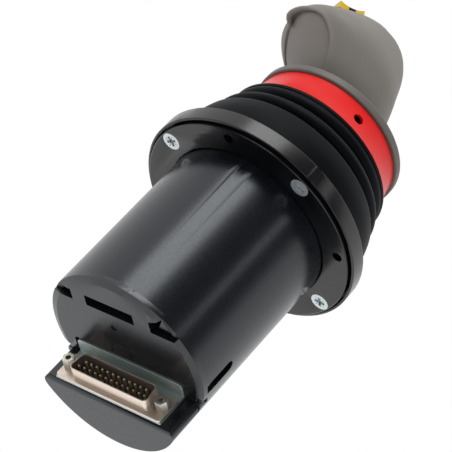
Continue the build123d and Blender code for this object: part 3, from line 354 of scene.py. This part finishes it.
# The shelf's two sides and its outer edge are stepped and rolled over, here in mm
top, end, face_level = shelf_top / mm, min(v.co.z for v in cap.verts) / mm, (face_z - face_drop) / mm
step, side_roll, edge_roll = 0.7, 4.0, 2.6
beyond, above, below_end = 40, top + 3, end - 1
side = foot_radius / mm - side_roll
low_y = top - step - side_roll
low_x = sqrt(side * side - low_y * low_y)
turn = bearing_of(low_x, low_y)
right_side = arc(low_x, low_y, side_roll, 90, turn) + [
    (beyond, low_y + side_roll * sin(radians(turn))), (beyond, above), (low_x, above)]
left_side = [(-a, b) for a, b in right_side]
edge_y, edge_z = top - step - edge_roll, end + edge_roll
outer_edge = arc(edge_y, edge_z, edge_roll, 0, -90) + [(edge_y, below_end), (above, below_end), (above, edge_z)]
cap = trimmed(cap, "cap_blank", [prism("right_roll", right_side, "Z", below_end, face_level - 0.05),
                                 prism("left_roll", left_side, "Z", below_end, face_level - 0.05),
                                 prism("front_roll", outer_edge, "X", -beyond, beyond)])
# A web bridges the outer half of the right slot, behind the face
web_outline = [(-20.4, 21.3)] + arc(0, 0, foot_radius / mm - 0.4, 130.2, 144.8) + [(-28.7, 20.8)]
web = prism("slot_web", web_outline, "Z", face_level + 2.1, notch_top / mm + 0.8)
cap.from_mesh(web.data)
bpy.data.objects.remove(web)
dressed("end_cap", "end_cap_shelf", "base", [cap_nylon], 0.35, cap)


# ---- Connector bracket
# An angle of zinc plated steel behind the connector, with a blue passivate and the fine rolling
# lines of the sheet. Its upright leg ends at the cap's face.
def drawn_metal(name, tone, dull_tone, roughness, swing, line, stretch, **sockets):
    """Bare metal with lines this wide in mm, drawn out by the stretch along each axis."""
    made, tree, shader = finish(name, Metallic=1.0, **sockets)
    place = put(tree, "ShaderNodeTexCoord").outputs["Object"]
    along = put(tree, "ShaderNodeMapping", {"Vector": place, "Scale": stretch})
    lines = put(tree, "ShaderNodeTexNoise", {"Vector": along.outputs[0], "Scale": 1 / (line * mm),
                "Detail": 4.0})
    tones = put(tree, "ShaderNodeMix", {"Factor": lines.outputs["Fac"], "A": linear(tone),
                "B": linear(dull_tone)}, data_type="RGBA")
    tree.links.new(tones.outputs[2], shader.inputs["Base Color"])
    polish = put(tree, "ShaderNodeMapRange", {"Value": lines.outputs["Fac"], "From Min": 0.3, "From Max": 0.7,
                 "To Min": roughness - swing, "To Max": roughness + swing})
    tree.links.new(polish.outputs["Result"], shader.inputs["Roughness"])
    relief = put(tree, "ShaderNodeBump", {"Height": lines.outputs["Fac"], "Distance": 0.0006 * mm})
    tree.links.new(relief.outputs["Normal"], shader.inputs["Normal"])
    return made


even = (1.0, 1.0, 1.0)
bracket_zinc = drawn_metal("blue_passivated_zinc_sheet", "e2eeec", "c6d4d2", 0.55, 0.06, 0.6, (0.12, 1.0, 1.0))
bracket = joined_copy("connector_bracket")
leg_end = max(v.co.z for v in bracket.verts)
for v in bracket.verts:
    if v.co.z > leg_end - 1.5 * mm:
        v.co.z -= face_drop
dressed("connector_bracket", "connector_angle", "base", [bracket_zinc], 0.15, bracket)


# ---- Connector shell and body
# The D of the shell and its flange are drawn from tinned steel sheet, bright and a little warm.
# A black glass-filled body stands inside it and holds the contacts.
shell_tin = drawn_metal("bright_tinned_steel", "fbeee2", "f0dfce", 0.4, 0.05, 1.2, even)
dressed("connector_shell", "connector_d_shell", "base", [shell_tin], 0.18)
body_resin = moulded("black_connector_resin", "120d08", "1a130c", 0.42, 0.08, 0.6, 0.003, IOR=1.6)
dressed("connector_insulator", "connector_body", "base", [body_resin], 0.1)


# ---- Contacts
# Twenty-five turned brass pins with round tips and a flash of gold, thirteen over twelve, pressed
# into the connector's body.
def sized_tree(name, sizes):
    """A Geometry Nodes tree with one named input for each size, and its input and output nodes."""
    tree = bpy.data.node_groups.new(name, "GeometryNodeTree")
    for label, value in sizes.items():
        kind = "NodeSocketInt" if isinstance(value, int) else "NodeSocketFloat"
        tree.interface.new_socket(label, in_out="INPUT", socket_type=kind)
    tree.interface.new_socket("Geometry", in_out="OUTPUT", socket_type="NodeSocketGeometry")
    return tree, tree.nodes.new("NodeGroupInput").outputs, tree.nodes.new("NodeGroupOutput")


def grown(name, tree, sizes, extra=()):
    """Runs a tree with these sizes, and keeps what it makes as one plain mesh."""
    seed = bpy.data.objects.new(name, bpy.data.meshes.new(name))
    bpy.context.scene.collection.objects.link(seed)
    maker = seed.modifiers.new("maker", "NODES")
    maker.node_group = tree
    for item in tree.interface.items_tree:
        if item.in_out == "INPUT":
            maker[item.identifier] = sizes[item.name]
    for kind, settings in extra:
        more = seed.modifiers.new(kind.lower(), kind)
        for key, value in settings.items():
            setattr(more, key, value)
    depsgraph = bpy.context.evaluated_depsgraph_get()
    result = bpy.data.meshes.new_from_object(seed.evaluated_get(depsgraph), depsgraph=depsgraph)
    seed.modifiers.clear()
    seed.data = result
    result.name = name
    return seed


contact_gold = drawn_metal("gold_flashed_brass", "fff0d2", "f0dcb4", 0.4, 0.05, 0.5, (1.0, 0.2, 1.0))
low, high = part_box("connector_contacts")
pin_radius = 0.5 * mm
contact_sizes = {"Pin Radius": pin_radius, "Pin Length": high.y - low.y,
                 "Row Pitch": (high.x - low.x - 2 * pin_radius) / 12,
                 "Row Spacing": high.z - low.z - 2 * pin_radius, "Wide Row": 13, "Narrow Row": 12}
tree, size, result = sized_tree("contact_rows", contact_sizes)
shank_length = put(tree, "ShaderNodeMath", {0: size["Pin Length"], 1: size["Pin Radius"]}, operation="SUBTRACT")
shank = put(tree, "GeometryNodeMeshCylinder", {"Vertices": 16, "Radius": size["Pin Radius"],
            "Depth": shank_length.outputs[0]})
half_length = put(tree, "ShaderNodeMath", {0: shank_length.outputs[0], 1: 0.5}, operation="MULTIPLY")
tip_place = put(tree, "ShaderNodeCombineXYZ", {"Z": half_length.outputs[0]})
tip = put(tree, "GeometryNodeMeshUVSphere", {"Segments": 16, "Rings": 8, "Radius": size["Pin Radius"]})
tip_moved = put(tree, "GeometryNodeTransform", {"Geometry": tip.outputs["Mesh"],
                "Translation": tip_place.outputs[0]})
pin = put(tree, "GeometryNodeMeshBoolean", operation="UNION", solver="EXACT")
tree.links.new(shank.outputs["Mesh"], pin.inputs["Mesh 2"])
tree.links.new(tip_moved.outputs["Geometry"], pin.inputs["Mesh 2"])
pin_turned = put(tree, "GeometryNodeTransform", {"Geometry": pin.outputs["Mesh"], "Rotation": (-pi / 2, 0, 0)})
rows = []
for count, side in ((size["Wide Row"], -0.5), (size["Narrow Row"], 0.5)):
    gaps = put(tree, "ShaderNodeMath", {0: count, 1: 1.0}, operation="SUBTRACT")
    reach = put(tree, "ShaderNodeMath", {0: gaps.outputs[0], 1: size["Row Pitch"]}, operation="MULTIPLY")
    start = put(tree, "ShaderNodeMath", {0: reach.outputs[0], 1: -0.5}, operation="MULTIPLY")
    height = put(tree, "ShaderNodeMath", {0: size["Row Spacing"], 1: side}, operation="MULTIPLY")
    first = put(tree, "ShaderNodeCombineXYZ", {"X": start.outputs[0], "Z": height.outputs[0]})
    step = put(tree, "ShaderNodeCombineXYZ", {"X": size["Row Pitch"]})
    rows.append(put(tree, "GeometryNodeMeshLine", {"Count": count, "Start Location": first.outputs[0],
                    "Offset": step.outputs[0]}))
both_rows = put(tree, "GeometryNodeJoinGeometry")
for row in rows:
    tree.links.new(row.outputs["Mesh"], both_rows.inputs["Geometry"])
pins = put(tree, "GeometryNodeInstanceOnPoints", {"Points": both_rows.outputs[0],
           "Instance": pin_turned.outputs[0]})
centred = Vector(((low.x + high.x) / 2, (low.y + high.y) / 2 - 0.25 * mm, (low.z + high.z) / 2))
placed = put(tree, "GeometryNodeTransform", {"Geometry": pins.outputs[0], "Translation": centred})
whole = put(tree, "GeometryNodeRealizeInstances", {"Geometry": placed.outputs[0]})
golden = put(tree, "GeometryNodeSetMaterial", {"Geometry": whole.outputs[0], "Material": contact_gold})
tree.links.new(golden.outputs[0], result.inputs["Geometry"])
contacts = grown("connector_pins", tree, contact_sizes)
contacts.data.shade_smooth()
contacts.data.set_sharp_from_angle(angle=radians(40))
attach(contacts, "base")
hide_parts("connector_contacts")


# ---- Jackscrews and nuts
# Two hexagonal pillars with a 4-40 thread inside clamp the shell, the bracket and the shelf
# together. They are turned from hexagon bar and nickel plated.
jack_nickel = drawn_metal("nickel_plated_hexagon_bar", "f8f5ec", "e8e2d6", 0.36, 0.05, 0.7, (1.0, 0.15, 1.0))
dressed("connector_jackscrews", "connector_pillars", "base", [jack_nickel], 0.22)
dressed("connector_nuts", "connector_back_nuts", "base", [jack_nickel], 0.15)


# ---- Flange plate
# The round plate that lies on the panel, moulded in black nylon with a polished face. Four
# countersunk screws hold it up to the gimbal frame, and four empty holes take the panel's bolts.
flange_nylon = moulded("polished_flange_nylon", "101114", "0b0c0e", 0.2, 0.03, 1.1, 0.001, IOR=1.53)
dressed("flange_plate", "panel_flange", "base", [flange_nylon], 0.3)


# ---- Flange screws
# M4 countersunk screws of zinc plated steel with a cross recess and its four tick marks. Each one
# stops at its own turn.
screw_zinc = drawn_metal("zinc_plated_screw", "eef2f4", "d6dee2", 0.55, 0.06, 0.5, even)
low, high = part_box("flange_screws")
rims = [v.co.xy.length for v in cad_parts["flange_screws"].data.vertices if v.co.z < low.z + 0.01 * mm]
screw_sizes = {"Pitch Radius": (max(rims) + min(rims)) / 2, "Head Radius": (max(rims) - min(rims)) / 2,
               "Head Depth": 2.1 * mm, "Shank Radius": 2.0 * mm, "Length": high.z - low.z,
               "Recess Width": 1.25 * mm, "Recess Reach": 5.0 * mm, "Recess Depth": 1.7 * mm,
               "Tick Width": 0.35 * mm, "Seed": 7}
tree, size, result = sized_tree("flange_screw_set", screw_sizes)
head = put(tree, "GeometryNodeMeshCone", {"Vertices": 48, "Radius Top": size["Shank Radius"],
           "Radius Bottom": size["Head Radius"], "Depth": size["Head Depth"]})
shank = put(tree, "GeometryNodeMeshCylinder", {"Vertices": 32, "Radius": size["Shank Radius"],
            "Depth": size["Length"]})
half_length = put(tree, "ShaderNodeMath", {0: size["Length"], 1: 0.5}, operation="MULTIPLY")
shank_place = put(tree, "ShaderNodeCombineXYZ", {"Z": half_length.outputs[0]})
shank_up = put(tree, "GeometryNodeTransform", {"Geometry": shank.outputs["Mesh"],
               "Translation": shank_place.outputs[0]})
solid = put(tree, "GeometryNodeMeshBoolean", operation="UNION", solver="EXACT")
tree.links.new(head.outputs["Mesh"], solid.inputs["Mesh 2"])
tree.links.new(shank_up.outputs["Geometry"], solid.inputs["Mesh 2"])
cut = put(tree, "GeometryNodeMeshBoolean", {"Mesh 1": solid.outputs["Mesh"]}, operation="DIFFERENCE",
          solver="EXACT")
double_depth = put(tree, "ShaderNodeMath", {0: size["Recess Depth"], 1: 2.0}, operation="MULTIPLY")
tick_reach = put(tree, "ShaderNodeMath", {0: size["Recess Reach"], 1: 1.18}, operation="MULTIPLY")
tick_depth = put(tree, "ShaderNodeMath", {0: size["Recess Depth"], 1: 0.35}, operation="MULTIPLY")
cross = (size["Recess Reach"], size["Recess Width"], double_depth.outputs[0])
tick = (tick_reach.outputs[0], size["Tick Width"], tick_depth.outputs[0])
for turn, (reach, width, deep) in ((0, cross), (90, cross), (45, tick), (135, tick)):
    block = put(tree, "ShaderNodeCombineXYZ", {"X": reach, "Y": width, "Z": deep})
    wing = put(tree, "GeometryNodeMeshCube", {"Size": block.outputs[0]})
    turned = put(tree, "GeometryNodeTransform", {"Geometry": wing.outputs["Mesh"],
                 "Rotation": (0, 0, radians(turn))})
    tree.links.new(turned.outputs["Geometry"], cut.inputs["Mesh 2"])
spots = put(tree, "GeometryNodeMeshCircle", {"Vertices": 4, "Radius": size["Pitch Radius"]})
spots_turned = put(tree, "GeometryNodeTransform", {"Geometry": spots.outputs["Mesh"],
                   "Rotation": (0, 0, pi / 4)})
stop = put(tree, "FunctionNodeRandomValue", {"Seed": size["Seed"]}, data_type="FLOAT")
stop.inputs[3].default_value = pi / 2
spin = put(tree, "ShaderNodeCombineXYZ", {"Z": stop.outputs[1]})
screws = put(tree, "GeometryNodeInstanceOnPoints", {"Points": spots_turned.outputs[0],
             "Instance": cut.outputs["Mesh"], "Rotation": spin.outputs[0]})
seated = put(tree, "GeometryNodeTransform", {"Geometry": screws.outputs[0], "Translation": (0, 0, low.z)})
whole = put(tree, "GeometryNodeRealizeInstances", {"Geometry": seated.outputs[0]})
plated = put(tree, "GeometryNodeSetMaterial", {"Geometry": whole.outputs[0], "Material": screw_zinc})
tree.links.new(plated.outputs[0], result.inputs["Geometry"])
flange_screws = grown("flange_cross_screws", tree, screw_sizes)
flange_screws.data.set_sharp_from_angle(angle=radians(30))
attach(flange_screws, "base")
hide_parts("flange_screws")


# ---- Bezel ring
# A thin black ring round the flange that clamps the foot of the bellows under its lip. It is
# moulded in gloss nylon, with an index mark on its side.
bezel_nylon = moulded("gloss_bezel_nylon", "131418", "0e0f12", 0.24, 0.03, 1.0, 0.001, IOR=1.53)
dressed("bezel_ring", "bellows_bezel", "base", [bezel_nylon], 0.3)


# ---- Bellows
# The gaiter of matt black rubber between the bezel and the collar, with one tall fold under two
# narrow ones. It is drawn as a lower half and an upper half, which meet at the seam.
rubber, tree, shader = finish("moulded_black_rubber", IOR=1.5, Specular_IOR_Level=0.11,
                              Specular_Tint=(0.86, 0.93, 1.0, 1.0))
place = put(tree, "ShaderNodeTexCoord").outputs["Object"]
bloom = put(tree, "ShaderNodeTexNoise", {"Vector": place, "Scale": 1 / (9 * mm), "Detail": 4.0})
tones = put(tree, "ShaderNodeMix", {"Factor": bloom.outputs["Fac"], "A": linear("08090c"),
            "B": linear("0c0d10")}, data_type="RGBA")
tree.links.new(tones.outputs[2], shader.inputs["Base Color"])
# Mould texture of about 0.15 mm, drawn at 0.5 mm so that it shows
skin = put(tree, "ShaderNodeTexNoise", {"Vector": place, "Scale": 1 / (0.5 * mm), "Detail": 2.0})
matt = put(tree, "ShaderNodeMapRange", {"Value": skin.outputs["Fac"], "To Min": 0.46, "To Max": 0.6})
tree.links.new(matt.outputs["Result"], shader.inputs["Roughness"])
relief = put(tree, "ShaderNodeBump", {"Height": skin.outputs["Fac"], "Distance": 0.004 * mm})
tree.links.new(relief.outputs["Normal"], shader.inputs["Normal"])

low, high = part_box("bellows")
seam_z = 26 * mm
bellows_sizes = {"From": low.z, "To": seam_z, "Start": 9 * mm, "Foot Radius": 46.3 * mm, "Foot Rise": 0.085,
                 "First Crest": 25.0 * mm, "Crest Radius": 45.2 * mm, "Taper": 0.33, "Fold Pitch": 7.8 * mm,
                 "Fold Depth": 3.7 * mm, "Fold Roundness": 0.62, "Cuff Bottom": high.z - 1.2 * mm,
                 "Cuff Radius": 39.8 * mm, "Segments": 181, "Levels": 90}
tree, size, result = sized_tree("bellows_wave", bellows_sizes)
sheet = put(tree, "GeometryNodeMeshGrid", {"Size X": 1.0, "Size Y": 1.0, "Vertices X": size["Segments"],
            "Vertices Y": size["Levels"]})
flat = put(tree, "ShaderNodeSeparateXYZ", {0: put(tree, "GeometryNodeInputPosition").outputs[0]})
around = put(tree, "ShaderNodeMapRange", {"Value": flat.outputs["X"], "From Min": -0.5, "From Max": 0.5,
             "To Min": 0.0, "To Max": 2 * pi})
z = put(tree, "ShaderNodeMapRange", {"Value": flat.outputs["Y"], "From Min": -0.5, "From Max": 0.5,
        "To Min": size["From"], "To Max": size["To"]}).outputs["Result"]
over_foot = put(tree, "ShaderNodeMath", {0: z, 1: size["Start"]}, operation="SUBTRACT")
rising = put(tree, "ShaderNodeMath", {0: over_foot.outputs[0], 1: size["Foot Rise"], 2: size["Foot Radius"]},
             operation="MULTIPLY_ADD")
over_crest = put(tree, "ShaderNodeMath", {0: z, 1: size["First Crest"]}, operation="SUBTRACT")
lost = put(tree, "ShaderNodeMath", {0: over_crest.outputs[0], 1: size["Taper"]}, operation="MULTIPLY")
falling = put(tree, "ShaderNodeMath", {0: size["Crest Radius"], 1: lost.outputs[0]}, operation="SUBTRACT")
crest_blend = 3 * mm
line = put(tree, "ShaderNodeMath", {0: rising.outputs[0], 1: falling.outputs[0], 2: crest_blend},
           operation="SMOOTH_MIN")
above_first = put(tree, "ShaderNodeMath", {0: over_crest.outputs[0], 1: 0.0}, operation="GREATER_THAN")
fold = put(tree, "ShaderNodeMath", {0: over_crest.outputs[0], 1: size["Fold Pitch"]}, operation="DIVIDE")
turn = put(tree, "ShaderNodeMath", {0: fold.outputs[0], 1: pi}, operation="MULTIPLY")
wave = put(tree, "ShaderNodeMath", {0: turn.outputs[0]}, operation="COSINE")
lobe = put(tree, "ShaderNodeMath", {0: wave.outputs[0]}, operation="ABSOLUTE")
round_lobe = put(tree, "ShaderNodeMath", {0: lobe.outputs[0], 1: size["Fold Roundness"]}, operation="POWER")
hollow = put(tree, "ShaderNodeMath", {0: 1.0, 1: round_lobe.outputs[0]}, operation="SUBTRACT")
dip = put(tree, "ShaderNodeMath", {0: hollow.outputs[0], 1: above_first.outputs[0]}, operation="MULTIPLY")
sunk = put(tree, "ShaderNodeMath", {0: dip.outputs[0], 1: size["Fold Depth"]}, operation="MULTIPLY")
folded = put(tree, "ShaderNodeMath", {0: line.outputs[0], 1: sunk.outputs[0]}, operation="SUBTRACT")
on_cuff = put(tree, "ShaderNodeMath", {0: z, 1: size["Cuff Bottom"]}, operation="GREATER_THAN")
radius = put(tree, "ShaderNodeMix", {"Factor": on_cuff.outputs[0], "A": folded.outputs[0],
             "B": size["Cuff Radius"]})
cosine = put(tree, "ShaderNodeMath", {0: around.outputs["Result"]}, operation="COSINE")
sine = put(tree, "ShaderNodeMath", {0: around.outputs["Result"]}, operation="SINE")
across = put(tree, "ShaderNodeMath", {0: radius.outputs[0], 1: cosine.outputs[0]}, operation="MULTIPLY")
along = put(tree, "ShaderNodeMath", {0: radius.outputs[0], 1: sine.outputs[0]}, operation="MULTIPLY")
spot = put(tree, "ShaderNodeCombineXYZ", {"X": across.outputs[0], "Y": along.outputs[0], "Z": z})
rolled = put(tree, "GeometryNodeSetPosition", {"Geometry": sheet.outputs["Mesh"], "Position": spot.outputs[0]})
closed = put(tree, "GeometryNodeMergeByDistance", {"Geometry": rolled.outputs[0], "Distance": 0.01 * mm})
whole = put(tree, "GeometryNodeRealizeInstances", {"Geometry": closed.outputs[0]})
coated = put(tree, "GeometryNodeSetMaterial", {"Geometry": whole.outputs[0], "Material": rubber})
tree.links.new(coated.outputs[0], result.inputs["Geometry"])
wall = [("SOLIDIFY", {"thickness": 1.1 * mm, "offset": -1.0})]
lower_bellows = grown("bellows_lower", tree, bellows_sizes, wall)
upper_sizes = dict(bellows_sizes, From=seam_z, To=high.z)
upper_bellows = grown("bellows_upper", tree, upper_sizes, wall)
for half in (lower_bellows, upper_bellows):
    half.data.shade_smooth()
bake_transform(lower_bellows)
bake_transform(upper_bellows)
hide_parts("bellows")


# ---- Red collar
# A slightly waisted ring moulded in red gloss nylon. It grips the bellows' cuff and hides the twist
# housing, which black grub screws in its three side holes hold.
collar_nylon = moulded("red_moulded_nylon", "f5221e", "ea1c19", 0.36, 0.03, 0.8, 0.0005, IOR=1.5,
                       Specular_IOR_Level=0.2)
dressed("collar_ring", "red_collar", "stick", [collar_nylon], 0.25)
black_oxide = drawn_metal("black_oxide_steel", "2a2625", "171414", 0.4, 0.08, 0.4, even)
dressed("collar_grub_screws", "collar_grubs", "stick", [black_oxide], 0.1)


# ---- Grip skirt
# The round foot of the grip, moulded in warm grey ABS. Its upper edge rolls over into the palm
# form, and the whole surface has a spark-eroded texture.
grip_abs = moulded("textured_grey_abs", "8f8a85", "86817c", 0.56, 0.07, 0.45, 0.02, IOR=1.5)
skirt_abs = moulded("smooth_grey_abs", "706c66", "6a6660", 0.5, 0.05, 0.6, 0.004, IOR=1.5)
dressed("grip_skirt", "grip_foot", "grip", [skirt_abs], 0.5)


# ---- Palm shell and thumb panel
# The palm form is a hollow moulding in the same grey ABS. Its front edge flares into a lip over an
# arched opening, and a separate inset panel closes that.
def point(across, forward, height):
    """A point in the grip's own axes, in mm: across to the front of the palm, then forward, then up."""
    return Vector(((across - forward) / sqrt(2), (across + forward) / sqrt(2), height)) * mm


def sculpted(mesh, name, grain, smoothing, joins=()):
    """A bmesh and the closed pieces that grow out of it, made one skin of this grain and smoothed."""
    made = piece_of(mesh, name, 180)
    data = bmesh.new()
    data.from_mesh(made.data)
    for each in joins:
        data.from_mesh(each.data)
        bpy.data.objects.remove(each)
    data.to_mesh(made.data)
    data.free()
    skin = made.modifiers.new("skin", "REMESH")
    skin.mode = "VOXEL"
    skin.voxel_size = grain * mm
    skin.use_smooth_shade = True
    soften = made.modifiers.new("soften", "SMOOTH")
    soften.factor = 0.5
    soften.iterations = smoothing
    depsgraph = bpy.context.evaluated_depsgraph_get()
    result = bpy.data.meshes.new_from_object(made.evaluated_get(depsgraph), depsgraph=depsgraph)
    made.modifiers.clear()
    made.data = result
    result.name = name
    return made


def roll(name, stations):
    """A round bead through these points, each with its own radius in mm."""
    curve = bpy.data.curves.new(name, "CURVE")
    curve.dimensions = "3D"
    curve.bevel_depth = 1.0 * mm
    curve.bevel_resolution = 6
    curve.use_fill_caps = True
    spline = curve.splines.new("NURBS")
    spline.points.add(len(stations) - 1)
    for each, (across, forward, height, radius) in zip(spline.points, stations):
        each.co = (*point(across, forward, height), 1.0)
        each.radius = radius
    spline.order_u = 3
    spline.use_endpoint_u = True
    spline.resolution_u = 10
    made = bpy.data.objects.new(name, curve)
    bpy.context.scene.collection.objects.link(made)
    depsgraph = bpy.context.evaluated_depsgraph_get()
    mesh = bpy.data.meshes.new_from_object(made.evaluated_get(depsgraph), depsgraph=depsgraph)
    bpy.data.objects.remove(made)
    solid = bpy.data.objects.new(name, mesh)
    bpy.context.scene.collection.objects.link(solid)
    return solid


# The lip's points and radii, from the beak at the front round to the foot of the arch
lip_stations = (
    (44.0, -2.0, 87.0, 0.7), (48.3, -0.4, 88.6, 1.7), (48.7, 3.4, 90.0, 1.5), (47.2, 8.2, 91.4, 1.1),
    (44.7, 13.1, 90.6, 0.95), (41.1, 17.4, 89.8, 0.9), (37.7, 19.5, 88.2, 0.9), (32.9, 20.4, 84.7, 0.85),
    (29.0, 19.8, 81.2, 0.8), (25.6, 17.8, 77.3, 0.8), (22.6, 15.3, 73.7, 0.75), (20.5, 12.9, 70.6, 0.5))
palm = sculpted(joined_copy("palm_shell"), "palm_rest", 0.55, 6, [roll("front_lip", lip_stations)])
# The palm swells round the thumb rocker, so that its well is sunk into the surface
low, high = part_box("rocker_frame")
well, well_reach, swell = (low + high) / 2, 15 * mm, 1.5 * mm
for v, normal in [(v, v.normal.copy()) for v in palm.data.vertices]:
    near = max(0.0, 1 - (v.co - well).length / well_reach)
    v.co += normal * swell * near * near * (3 - 2 * near) * (normal.z > 0.3)
# The crown is drawn smooth, up to the rocker's well
crown = bmesh.new()
crown.from_mesh(palm.data)
summit = max((v.co for v in crown.verts), key=lambda co: co.z).copy()
crown_reach, well_margin, passes = 19 * mm, 9 * mm, 150
near_top = [v for v in crown.verts if (v.co - summit).length < crown_reach and v.normal.z > 0.55
            and (v.co - well).length > well_margin]
for _ in range(passes):
    bmesh.ops.smooth_vert(crown, verts=near_top, factor=0.5, use_axis_x=True, use_axis_y=True,
                          use_axis_z=True)
crown.to_mesh(palm.data)
crown.free()
palm.data.materials.clear()
palm.data.materials.append(grip_abs)
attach(palm, "grip")
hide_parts("palm_shell")

panel = sculpted(joined_copy("thumb_panel"), "thumb_rest_panel", 0.55, 4)
panel_rise = 0.6
for v, normal in [(v, v.normal.copy()) for v in panel.data.vertices]:
    v.co += normal * panel_rise * mm
panel.data.materials.clear()
panel.data.materials.append(grip_abs)
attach(panel, "grip")
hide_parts("thumb_panel")


# ---- Thumb rocker
# A moulded saddle with two yellow pads and a black middle, over a black well in the top of the grip.
# It rocks on a steel pin and pushes the plungers of two small switches.
well_nylon = moulded("matt_black_nylon", "141414", "0e0e0e", 0.5, 0.08, 0.5, 0.01, IOR=1.53)
rocker_slope, well_sink = radians(29), 1.8
well_frame = joined_copy("rocker_frame")
for v in well_frame.verts:
    v.co -= point(sin(rocker_slope), 0, cos(rocker_slope)) * well_sink
dressed("rocker_frame", "rocker_well", "grip", [well_nylon], 0.3, well_frame)
rocker_pc = moulded("yellow_moulded_polycarbonate", "f0c92c", "ecc11f", 0.3, 0.05, 0.7, 0.004, IOR=1.58)
rocker_along = point(-cos(rocker_slope), 0, sin(rocker_slope)).normalized()
rocker = joined_copy("thumb_rocker")
low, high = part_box("thumb_rocker")
rocker_centre = (low + high) / 2
strip = 1.7 * mm
for side in (-1, 1):
    bmesh.ops.bisect_plane(rocker, geom=rocker.verts[:] + rocker.edges[:] + rocker.faces[:],
                           plane_co=rocker_centre + rocker_along * strip * side, plane_no=rocker_along)
for face in rocker.faces:
    face.material_index = int(abs((face.calc_center_median() - rocker_centre).dot(rocker_along)) < strip)
dressed("thumb_rocker", "yellow_rocker", "rocker", [rocker_pc, well_nylon], 0.4, rocker)


# ---- Gimbal, springs and boards
# Inside, a die-cast frame, a turned ring and a hub carry the stick on steel axles in bronze
# bushes, with coil springs, magnets and two round boards below. They stay as the CAD draws them.
cast_zinc = drawn_metal("die_cast_zinc", "9b9da0", "85878a", 0.48, 0.1, 1.6, even)
turned_aluminium = drawn_metal("turned_aluminium", "c4c6c8", "aeb0b3", 0.3, 0.06, 0.4, (1.0, 1.0, 0.2))
sintered_bronze = drawn_metal("sintered_bronze", "a88452", "8c6c40", 0.45, 0.1, 0.3, even)
ground_steel = drawn_metal("ground_steel", "b4b5b6", "9c9d9f", 0.22, 0.05, 0.3, even)
drawn_wire = drawn_metal("drawn_spring_steel", "8e8f91", "77787a", 0.33, 0.07, 0.4, even)
inner_nylon = moulded("matt_inner_nylon", "1c1c1c", "151515", 0.5, 0.08, 0.6, 0.01, IOR=1.53)
sintered_magnet = drawn_metal("sintered_magnet", "5a5b5e", "4a4b4d", 0.5, 0.08, 0.5, even)
board_laminate = moulded("green_board_laminate", "0f4526", "0c3a20", 0.3, 0.06, 1.5, 0.02, IOR=1.5,
                         Coat_Weight=0.4)
turned_brass = drawn_metal("turned_brass", "c9a75e", "b2924d", 0.25, 0.05, 0.4, even)
ribbon_pvc = moulded("grey_ribbon_pvc", "9a9c9e", "8c8e90", 0.5, 0.06, 1.27, 0.1, IOR=1.52)
chip_resin = moulded("black_chip_resin", "161616", "101010", 0.55, 0.08, 0.5, 0.01, IOR=1.55)
inner_finishes = {
    "frame_zinc": cast_zinc, "ring_aluminium": turned_aluminium, "bush_bronze": sintered_bronze,
    "shaft_steel": ground_steel, "spring_steel": drawn_wire, "inner_black": inner_nylon,
    "magnet_grey": sintered_magnet, "board_green": board_laminate, "standoff_brass": turned_brass,
    "ribbon_grey": ribbon_pvc, "chip_black": chip_resin, "screw_zinc": screw_zinc,
}
for name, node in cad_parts.items():
    if not node.hide_render:
        for each in node.material_slots:
            each.material = inner_finishes[each.material.name.split(".")[0]]
